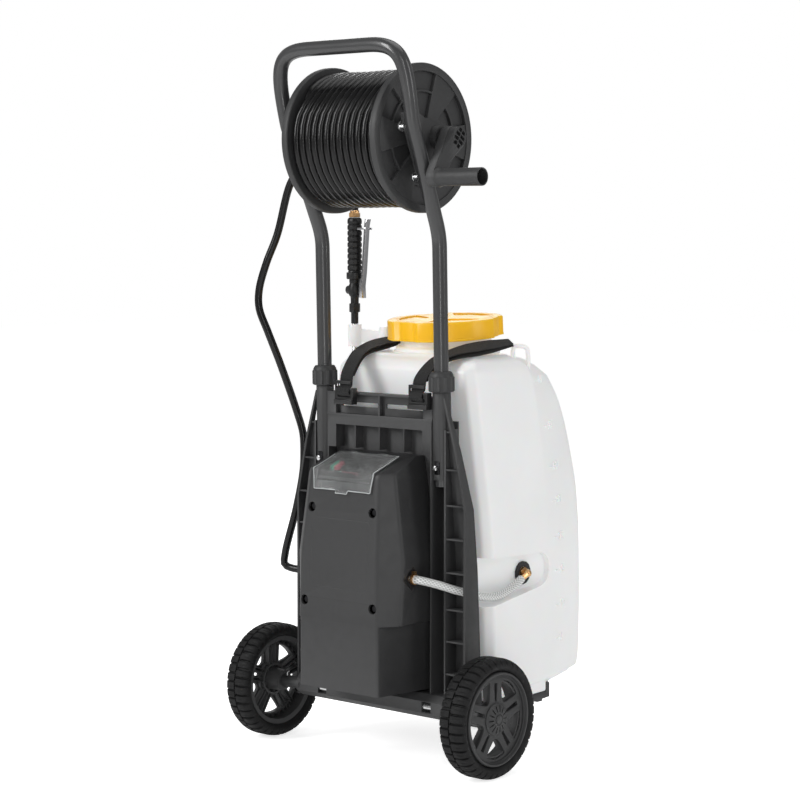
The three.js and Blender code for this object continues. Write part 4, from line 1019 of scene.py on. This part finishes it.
def lid():
    half = math.radians(42.5)
    gap = math.radians(120) - 2 * half

    def lobes(angle, r, h):
        """The lid's wall: three wide grip lobes with shallow valleys between them."""
        turn = (angle - math.radians(-36.4) + math.pi / 3) % math.radians(120) - math.pi / 3
        past = max(0.0, (abs(turn) - half) / (gap / 2))
        if r < 76:
            return r
        return r - 6.5 * min(1.0, past * 2.6)

    wall = [
        (71.4, 633), (90.2, 633), (90.8, 633.6), (90.8, 635.4), (90.2, 636.2), (90.2, 660.6),
        (89.4, 662.2), (87.4, 663), (76.5, 663), (76.5, 662.4), (75.0, 662.4), (75.0, 663), (20, 663),
        (6, 663), (0.01, 663), (0.01, 659.5), (71.4, 659.5), (71.4, 633),
    ]
    mesh = joined(tipped(turned(wall, (0, 150, 0), sides=180, shape=lobes)))
    obj = piece("lid_moulding", mesh, "lid", "lid", 30, ("lid",))
    cutters = []
    for i in range(3):
        middle = math.radians(-36.4 + 120 * i)
        outline = [(22 * math.cos(middle), 22 * math.sin(middle))]
        for k in range(9):
            a = middle - 0.66 + 1.32 * k / 8
            outline.append((73 * math.cos(a), 73 * math.sin(a)))
        loops = []
        for z, shrink in ((660.7, 0.93), (661.4, 0.965), (670, 1.0)):
            centre = Vector((50 * math.cos(middle), 50 * math.sin(middle)))
            loop = [centre + (Vector(p) - centre) * shrink for p in rounded(outline, 2, 0.2)]
            loops.append([at(p.x, p.y + 150, z) for p in loop])
        cutters.append(tipped(rings(loops)))
    cut_by(obj, *cutters)


# ---------------------------------------------------------------- straps
STRAP_TWIST = {"right": (0, 0, 6, 24, 34, 34), "left": (0, 0, 4, 14, 24, 30)}
STRAPS = {
    "right": [
        (84.5, -12, 562), (84.5, -8, 578), (86, 22, 603),
        (96, 50, 615), (105, 100, 623), (113, 172, 628),
    ],
    "left": [
        (-61.5, -12, 562), (-63, -8, 578), (-74, 22, 603),
        (-84, 50, 614), (-93, 98, 623), (-104, 172, 627),
    ],
}


def between(values, place):
    k = min(int(place), len(values) - 2)
    return values[k] + (values[k + 1] - values[k]) * (place - k)


# The strap's section, from edge to edge below and back above, in half widths and half thicknesses.
STRAP_SECTION = [(-1, -0.35), (-0.97, -1), (-0.5, -0.96), (0, -0.9), (0.5, -0.96), (0.97, -1), (1, -0.35)]
STRAP_SECTION += [(1, 0.35), (0.97, 1), (0.5, 1.08), (0, 1.12), (-0.5, 1.08), (-0.97, 1), (-1, 0.35)]


def ribbon(points, widths, thickness, twist=(0, 0)):
    """A flat strap along a line, with UVs in centimetres along it and from edge to edge."""
    line = smooth_line([at(*p) for p in points], 0.006)
    rows = []
    for i, p in enumerate(line):
        run = (line[min(i + 1, len(line) - 1)] - line[max(i - 1, 0)]).normalized()
        side = (Vector((1, 0, 0)) - run * run.x).normalized()
        up = side.cross(run).normalized()
        part = i / (len(line) - 1)
        turn = math.radians(between(twist, part * (len(twist) - 1)))
        side = Quaternion(run, turn) @ side
        up = side.cross(run).normalized()
        half = between(widths, part * (len(widths) - 1)) / 1000
        lift = up * thickness / 2000
        rows.append([(t, p + side * half * t + lift * h) for t, h in STRAP_SECTION])
    return rows


def strap_mesh(layers):
    parts = [rings([[p for _, p in row] for row in rows]) for rows in layers]
    mesh = joined(*parts)
    across = [t for rows in layers for row in rows for t, _ in row]
    along = [i * 0.6 for rows in layers for i, row in enumerate(rows) for _ in row]
    layer = mesh.uv_layers.new(name="weave")
    for loop in mesh.loops:
        layer.data[loop.index].uv = (along[loop.vertex_index], across[loop.vertex_index])
    return mesh


def straps():
    for word, line in STRAPS.items():
        under = []
        for i, (x, y, z) in enumerate(line):
            drop = (0.0, 2.2, 3.4, 4.6, 6.4, 2.6)[i]
            under.append((x + (0, 0, 1, 2, 3, 0)[i], y + (0, 1.4, 1.0, 0, 0, 0)[i], z - drop))
        widths = (12.5, 12.5, 12.5, 12.5, 10, 7)
        twist = STRAP_TWIST[word]
        layers = [ribbon(line, widths, 1.7, twist), ribbon(under[1:], widths[1:], 1.6, twist[1:])]
        x = line[0][0]
        wrap = [(-12, 562), (-14.6, 559.8), (-18.6, 557.6), (-19.4, 551), (-16, 547.4), (-9, 547.2)]
        layers.append(ribbon([(x, y, z) for y, z in wrap], (12.5, 12.5), 1.7))
        mesh = strap_mesh(layers)
        piece(f"tank_strap_{word}_webbing", mesh, "webbing", "cart", 50, (f"tank_strap_{word}",))


# ---------------------------------------------------------------- handle, collars and pins
LEG_X = 117.7


def handle_side(side):
    """One leg of the handle tube from its lower end to the middle of the grip bar, in metres."""
    low = Vector((LEG_X, 4.872, 420))
    bend = Vector((LEG_X, -4.008, 790))
    top = Vector((124.4, -73, 955))
    start = bend.lerp(low, 0.05)
    end = bend.lerp(top, 0.12)
    points = [low.lerp(start, k / 12) for k in range(12)]
    points += [start.lerp(bend, k / 8).lerp(bend.lerp(end, k / 8), k / 8) for k in range(9)]
    points += [end.lerp(top, k / 6) for k in range(1, 6)]
    p1, p2, p3 = Vector((129, -92, 1040)), Vector((128, -96, 1066.4)), Vector((58, -94.8, 1066.4))
    for k in range(25):
        t = k / 24
        place = top * (1 - t) ** 3 + p1 * 3 * t * (1 - t) ** 2 + p2 * 3 * t * t * (1 - t) + p3 * t**3
        points.append(place)
    return [at(side * p.x, p.y, p.z) for p in points]


def handle():
    line = handle_side(1) + list(reversed(handle_side(-1)))
    mesh = joined(swept(line, 0.011, 32, 0.0095))
    piece("handle_tube_bent", mesh, "paint", "handle", 35, ("handle_tube",))


def collar(word, side):
    def grips(angle, r, h):
        if h < 1.5 or h > 22 or r < 15:
            return r
        wave = math.cos(angle * 11)
        return r + 1.3 * max(-0.25, min(1.0, wave * 2.2))

    profile = [
        (11.4, 0), (18.0, 0), (18.8, 0.8), (18.8, 1.4), (18.3, 1.6), (18.2, 21.8), (18.2, 22.4),
        (17.8, 25), (15.4, 29), (14.4, 29.9), (11.4, 29.9), (11.4, 0),
    ]
    verts, faces = turned(profile, (0, 0, 0), sides=132, shape=grips)
    lean = Matrix.Rotation(math.atan(0.024), 4, "X")
    foot = at(0, 0, 0)
    place = Matrix.Translation(at(side * LEG_X, 0.024 * 63, 560.9)) @ lean @ Matrix.Translation(-foot)
    mesh = joined(([place @ v for v in verts], faces))
    piece(f"lock_collar_{word}_ribbed", mesh, "frame", f"collar_{word}", 35, (f"lock_collar_{word}",))


# ---------------------------------------------------------------- reel and crank
def wedge(side, middle, half, inner, outer, x0, x1, bevel):
    """A raised wedge of the reel's flange."""
    outline = []
    for k in range(13):
        a = middle - half + 2 * half * k / 12
        outline.append((outer * math.sin(a), outer * math.cos(a)))
    for k in range(13):
        a = middle + half - 2 * half * k / 12
        outline.append((inner * math.sin(a), inner * math.cos(a)))
    return plate(outline, (), x1 - x0, bevel, across(side * (x0 + x1) / 2, REEL[1], REEL[2]))


def reel():
    outer = [
        (10.5, 76), (66, 76), (66, 0), (69, 0), (69, 82), (108.4, 82), (109.8, 83.2), (110, 84.4),
        (110, 91.6), (109.2, 93), (107.8, 93.4), (99.6, 93.4), (98.2, 92.8), (97.6, 86.6), (97, 86),
        (32, 86), (30.6, 87.4), (29.6, 93), (29, 93.4), (10.5, 93.4),
    ]
    profile = outer + [outer[0]]
    parts = []
    for side in (1, -1):
        parts.append(turned(profile, REEL, (side, 0, 0), 144))
        for i in range(6):
            middle = math.radians(32 + 60 * i)
            parts.append(wedge(side, middle, math.radians(15), 28, 99, 85, 91.5, 0.7))
            pocket = middle + math.radians(30)
            parts.append(wedge(side, pocket, math.radians(15.2), 68, 70.5, 85, 91, 0.4))
    shaft = [(9.5, 74), (9.5, 132.4), (8.8, 133), (0.01, 133), (0.01, 74), (9.5, 74)]
    parts.append(turned(shaft, REEL, (1, 0, 0), 40))
    boss = [(9.6, 79), (16, 79), (16, 86), (9.6, 86), (9.6, 79)]
    parts.append(turned(boss, REEL, (1, 0, 0), 40))
    piece("reel_flanges", joined(*parts), "frame", "reel", 30, ("reel_drum",))


def crank():
    obj = refined("crank_arm", "frame", 0.7, 2, 30)
    # the webbed pocket in the hub's end face: cells between slanted webs
    toward = math.atan2(875 - 934, -45 + 9.3)
    cells = []
    for row in range(4):
        for col in (-1, 1):
            along = -12.6 + 7.2 * row + (1.0 if col > 0 else 0)
            reach = 10.4 if row in (1, 2) else 7.6
            near = [(along, col * 0.9), (along + 5.9, col * 0.8)]
            far = [(along + 6.2, col * reach), (along + 0.9, col * reach)]
            outline = [turn_by(p, toward) for p in rounded(near + far, 3, 0.18)]
            cells.append(plate(outline, (), 9.0, 0.01, across(160.6, REEL[1], REEL[2])))
    cut_by(obj, joined(*cells))
    profile = [
        (6.1, 0), (14.0, 0), (14.5, 0.6), (14.5, 2.6), (13.8, 4.0), (12.9, 7.0), (12.75, 12),
        (13.25, 80.6), (13.1, 81.6), (12.6, 82), (11.9, 82), (11.4, 81.4), (11.1, 34), (6.1, 33),
        (6.1, 0),
    ]
    mesh = joined(turned(profile, (150, -45, 875), (1, 0, 0), 72))
    piece("crank_grip_sleeve", mesh, "frame", "crank_grip", 35, ("crank_grip",))


# ---------------------------------------------------------------- pump box
BOX_LEVELS = [
    (112.5, 79, -98.5, 82, -75, 92),
    (216, 78.5, -98.5, 83, -75, 95),
    (217.2, 78.5, -98.5, 100.6, -72.3, 97.4),
    (218.5, 78.5, -98.5, 102, -72, 98),
    (312, 76, -97, 106, -70, 99.7),
    (432, 68, -84, 88, -67, 83),
    (438, 66.8, -83.2, 86, -66.5, 82),
    (441, 66, -81.0, 85, -65, 81),
    (462, 62.3, -14, 76.4, -11.5, 77.2),
    (463.3, 61.6, -9.4, 75.4, -8.4, 76.4),
]


def box_ring(level, inset=0.0):
    z, front_x, front_y, bulge_x, bulge_y, back_x = level
    half = [
        (front_x - inset, front_y + inset),
        (bulge_x - inset, bulge_y + inset * 0.4),
        (back_x - inset, -5),
        (back_x - inset, 11.7 + (1 if inset else 0)),
    ]
    corners = half + [(-x, y) for x, y in reversed(half)]
    ring = []
    for i, corner in enumerate(corners):
        here = Vector(corner)
        before = Vector(corners[i - 1]) - here
        after = Vector(corners[(i + 1) % len(corners)]) - here
        reach = min(5.0, before.length * 0.45, after.length * 0.45)
        a = here + before.normalized() * reach
        b = here + after.normalized() * reach
        for k in range(6):
            t = k / 5
            ring.append(a.lerp(here, t).lerp(here.lerp(b, t), t))
    return [at(p.x, p.y, z) for p in ring]


def prism(points):
    """A solid round the given points, in millimetres."""
    mesh = bpy.data.meshes.new("prism")
    bm = bmesh.new()
    for p in points:
        bm.verts.new(at(*p))
    result = bmesh.ops.convex_hull(bm, input=bm.verts)
    loose = [v for v in result["geom_interior"] if isinstance(v, bmesh.types.BMVert)]
    bmesh.ops.delete(bm, geom=loose, context="VERTS")
    bmesh.ops.recalc_face_normals(bm, faces=bm.faces)
    bm.to_mesh(mesh)
    bm.free()
    return mesh


def pump_box():
    outer = joined(rings([box_ring(level) for level in BOX_LEVELS]))
    obj = piece("pump_box_shell", outer, "box", "cart", 28, ("pump_box",))
    inner = []
    for i, level in enumerate(BOX_LEVELS):
        if i in (2, 6, 8):
            continue
        lift = 3 if i == 0 else (-3 if i == len(BOX_LEVELS) - 1 else 0)
        inner.append(box_ring((level[0] + lift, *level[1:]), 3))
    hollow = rings(inner)
    tools = []
    for s in (1, -1):
        near = [(97, -58, 285), (97, -34, 285), (97, -45.6, 298), (97, -45.6, 272)]
        far = [(110, -80, 287), (110, -24, 283), (110, -45.6, 311), (110, -45.6, 259)]
        tools.append(prism([(s * x, y, z) for x, y, z in near + far]))
    cut_by(obj, hollow)
    pads = []
    for s in (1, -1):
        x0, x1 = sorted((s * 93, s * 99.9))
        pads.append(block((x0, -64, 266), (x1, -28, 304)))
    pads_piece = piece("pump_box_port_pads", joined(*pads), "box", "cart", 28)
    cut_by(pads_piece, *tools)
    sink = [(8.2, -8), (7.6, 0.2), (7.0, 1.4), (6.6, 8.4), (0.01, 8.4), (0.01, -8), (8.2, -8)]
    for x, z in ((61, 384), (-61, 384), (68.6, 243), (-68.6, 243)):
        face = -97 + (z - 312) * 0.108 if z > 312 else -98.2
        tools.append(turned(sink, (x, face, z), (0, 1, 0), 28))
    tools.append(block((-54, -95, 425), (54, -30, 480)))
    for tool in tools:
        cut_by(obj, tool)


def bracket_bolts():
    """Plated bolts through each leg: a domed hexagon on a washer at the reel side, the shank beyond."""
    for word, s in SIDES:
        for place in ("high", "low"):
            node = f"bracket_bolt_{place}_{word}"
            low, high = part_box(node)
            y = (low.y + high.y) * 500 + DEPTH_CENTRE
            z = (low.z + high.z) * 500
            profile = [(0.01, 96.6), (3.4, 96.8), (6.0, 97.8), (6.9, 99.2), (6.9, 101.8), (6.2, 102.1)]
            profile += [(7.9, 102.2), (8.1, 103.0), (7.9, 103.6), (3.1, 103.6), (3.1, 132.4), (2.5, 133)]
            profile.append((0.01, 133))

            def hexed(angle, r, h):
                return r * hexagonal(angle) * 1.05 if 98.5 < h < 102 and r > 6.5 else r

            mesh = joined(turned(profile, (0, y, z), (s, 0, 0), 48, hexed))
            piece(f"{node}_domed", mesh, "steel", "handle", 30, (node,))


def lock_pins():
    """Dark slides with a bright button that lock the tubes at their heights."""
    for word, s in SIDES:
        refined(f"lock_pin_{word}", "bolt", 0.3, 2)
        low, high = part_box(f"lock_pin_{word}")
        x = (low.x + high.x) * 500
        front = low.y * 1000 + DEPTH_CENTRE
        button = [(0.01, -0.6), (2.6, -0.5), (3.7, 0.2), (3.9, 1.2), (3.9, 5.4), (3.5, 5.6), (0.01, 5.6)]
        mesh = joined(turned(button, (x, front, 448), (0, 1, 0), 32))
        piece(f"lock_button_{word}", mesh, "steel", f"pin_{word}", 30)


def axle_pins():
    """A straight bright pin through each end of the axle's sleeve, its head bent over at the top."""
    for word, s in SIDES:
        x = s * 188
        line = [at(x, -7.6, 103.4), at(x, -10.4, 103.2), at(x, -12, 101.4), at(x, -12, 92), at(x, -12, 80.5)]
        piece(f"axle_pin_{word}", joined(swept(smooth_line(line, 0.0015), 0.0013, 12)), "steel", "cart", 40)


def hose_clamps():
    """Spring clamps on the hoses at the box's two ports, and the white clip at the frame's hole."""
    for word, s in SIDES:
        parts = []
        for x in (103.2, 106.4):
            ring = [(6.5, -0.9), (8.1, -0.9), (8.1, 0.9), (6.5, 0.9), (6.5, -0.9)]
            parts.append(turned(ring, (s * x, -45.6, 285), (1, 0, 0), 32))
        ears = [(s * 101.8, -47.8, 292.4), (s * 107.8, -43.4, 297.2)]
        low = tuple(min(a, b) for a, b in zip(*ears))
        high = tuple(max(a, b) for a, b in zip(*ears))
        parts.append(block(low, high))
        piece(f"port_clamp_{word}", joined(*parts), "brass", "cart", 30)
    ring = [(6.5, -2.2), (8.4, -2.2), (8.4, 2.2), (6.5, 2.2), (6.5, -2.2)]
    run = (SUCTION_ROUTE[6] - SUCTION_ROUTE[5]).normalized()
    spot = SUCTION_ROUTE[5] + run * 0.004
    centre = (spot.x * 1000, spot.y * 1000 + DEPTH_CENTRE, spot.z * 1000)
    piece("suction_hose_clip", joined(turned(ring, centre, tuple(run), 32)), "tank", "cart", 30)


# ---------------------------------------------------------------- spray gun
GUN = (-176, 134)


def gun():
    grip = [(0.01, 818.5), (9.0, 818.5), (10.6, 817)]
    z = 815.0
    while z > 733:
        grip += [(11.5, z), (11.7, z - 3.2), (11.4, z - 6.2), (10.3, z - 7.2), (10.3, z - 8.2)]
        z -= 9.2
    grip += [(11, 731.4), (13, 730.8), (13.2, 729.5), (13.2, 722), (12.6, 720.4), (8.8, 720), (8.8, 716)]
    grip += [(8.2, 713.5), (9.6, 710), (10.6, 705), (10.4, 699), (9.0, 694.5), (7.0, 692), (6.6, 689)]
    grip.append((6.5, 681.6))
    hexagon = [(8.8, 681.4), (9.2, 680.4), (9.2, 668.4), (8.6, 667.4)]
    tail = [(6.2, 667), (5.9, 666), (5.9, 649.6), (5.2, 649), (0.01, 649)]

    def flats(angle, r, h):
        if 667.2 < h < 681.5:
            return r * hexagonal(angle)
        if h > 731 and r > 11.2:
            return r * (1 + 0.015 * math.cos(angle * 12))
        return r

    parts = [turned(grip + hexagon + tail, (*GUN, 0), sides=72, shape=flats)]
    parts.append(block((-172, 131, 697), (-163.2, 137, 707)))
    plug = [(0.01, 0), (6.4, 0), (6.9, -0.8), (6.9, -10), (0.01, -10)]
    parts.append(turned(plug, (-190.5, 134, 703), (-1, 0, 0), 32))
    piece("gun_body_moulding", joined(*parts), "black", "gun", 32, ("gun_body",))
    nut = [(5.8, 818.8), (8.2, 818.8), (8.9, 819.6), (8.9, 825.6), (8.3, 826.4), (7.4, 826.6)]
    nut += [(7.4, 829.4), (6.9, 830), (6.2, 830), (5.8, 829.4), (5.8, 818.8)]

    def hexed(angle, r, h):
        return r * hexagonal(angle) * 1.06 if h < 826.5 and r > 8 else r

    mesh = joined(turned(nut, (*GUN, 0), sides=72, shape=hexed))
    piece("hose_nut_hex", mesh, "brass", "gun", 30, ("hose_nut",))
    pipe = [(0.01, 172.2), (4.3, 172.2), (4.5, 172.6), (4.5, 648.2), (4.3, 648.6), (0.01, 648.6)]
    mesh = joined(turned(pipe, (*GUN, 0), sides=32))
    piece("lance_pipe_round", mesh, "steel", "gun", 30, ("lance_pipe",))
    tip = [(0.01, 152), (2.2, 152), (2.6, 153.2), (5.0, 153.4), (6.2, 155), (6.4, 163)]
    tip += [(5.6, 164), (5.6, 166), (6.4, 167), (6.4, 170.4), (5.6, 171.6), (0.01, 171.6)]
    mesh = joined(turned(tip, (*GUN, 0), sides=40))
    piece("spray_nozzle_turned", mesh, "brass", "gun", 30, ("spray_nozzle",))
    lever = refined("gun_lever", "lever", 0.7, 2, 25)
    channel = []
    for y in (130.8, 137.2):
        channel += [(-147.1, y, 732), (-138.4, y, 806), (-142.5, y, 732), (-134, y, 806)]
    cut_by(lever, prism(channel))
    refined("lever_lock", "lever", 0.4, 2, 25)
    refined("lance_clip", "tank", 0.7, 2, 30)


# ---------------------------------------------------------------- everything else keeps its CAD shape
def cover_edge():
    """A pale bead round the clear cover's edge, with the step round its finger tab: a painted highlight for
    the light caught in the clear edge.
    """
    half = [(60, -29, 462.9), (60.3, -85.6, 442.2), (56, -89.2, 412.8), (12, -89.2, 412.8)]
    half.append((11, -91.4, 408.4))
    edge = half + [(-x, y, z) for x, y, z in reversed(half)]
    points = [at(*a).lerp(at(*b), k / 6) for a, b in zip(edge, edge[1:]) for k in range(6)]
    piece("cover_edge", joined(swept(smooth_line(points, 0.002), 0.0007, 8)), "edge", "cover", 40)


def carried_over():
    """Rounded edges for the flat-sided nodes, and materials for the ones that stay as they are."""
    for node, look, width, segments in (
        ("back_frame", "frame", 0.5, 2),
        ("tank_shelf", "shelf", 0.5, 2),
        ("reel_bracket_right", "frame", 0.5, 2),
        ("reel_bracket_left", "frame", 0.5, 2),
        ("stand_leg", "paint", 1.5, 3),
        ("strap_buckle_right", "black", 0.9, 3),
        ("strap_buckle_left", "black", 0.9, 3),
        ("clear_cover", "clear", 0.4, 2),
        ("control_panel", "black", 0.5, 2),
        ("rocker_switch", "switch", 0.5, 2),
        ("pressure_knob", "black", 0.6, 3),
        ("tank_elbow", "brass", 0.4, 2),
        ("swivel_elbow", "brass", 0.4, 2),
        ("suction_fitting", "brass", 0.4, 2),
        ("outlet_fitting", "brass", 0.4, 2),
    ):
        refined(node, look, width, segments)
    for node, look in (
        ("axle", "steel"),
        ("mouth_strainer", "tank"),
        ("lid_seal", "seal"),
        ("port_gasket", "seal"),
        ("battery", "battery"),
        ("pump_head", "black"),
        ("pump_motor", "steel"),
        *((f"box_screw_{i}", "bolt") for i in range(1, 5)),
    ):
        mesh = NODES[node].data
        mesh.materials.clear()
        mesh.materials.append(LOOKS[look].material)


def make_floor():
    """A flat pale floor, 24 m square."""
    reach, depth = 12, -0.0005
    corners = [(-reach, -reach, depth), (reach, -reach, depth), (reach, reach, depth), (-reach, reach, depth)]
    mesh = bpy.data.meshes.new("floor")
    mesh.from_pydata(corners, [], [(0, 1, 2, 3)])
    ground = bpy.data.objects.new("floor", mesh)
    bpy.context.scene.collection.objects.link(ground)
    mesh.materials.append(floor_look().material)


make_camera()
make_hoses()
make_light()
make_floor()
for side_word, side_sign in SIDES:
    tyre(side_word, side_sign)
    rim(side_word, side_sign)
    hub_cap(side_word, side_sign)
    collar(side_word, side_sign)
tank()
litre_scale()
lid()
straps()
handle()
reel()
crank()
pump_box()
hose_clamps()
axle_pins()
bracket_bolts()
lock_pins()
gun()
carried_over()
cover_edge()
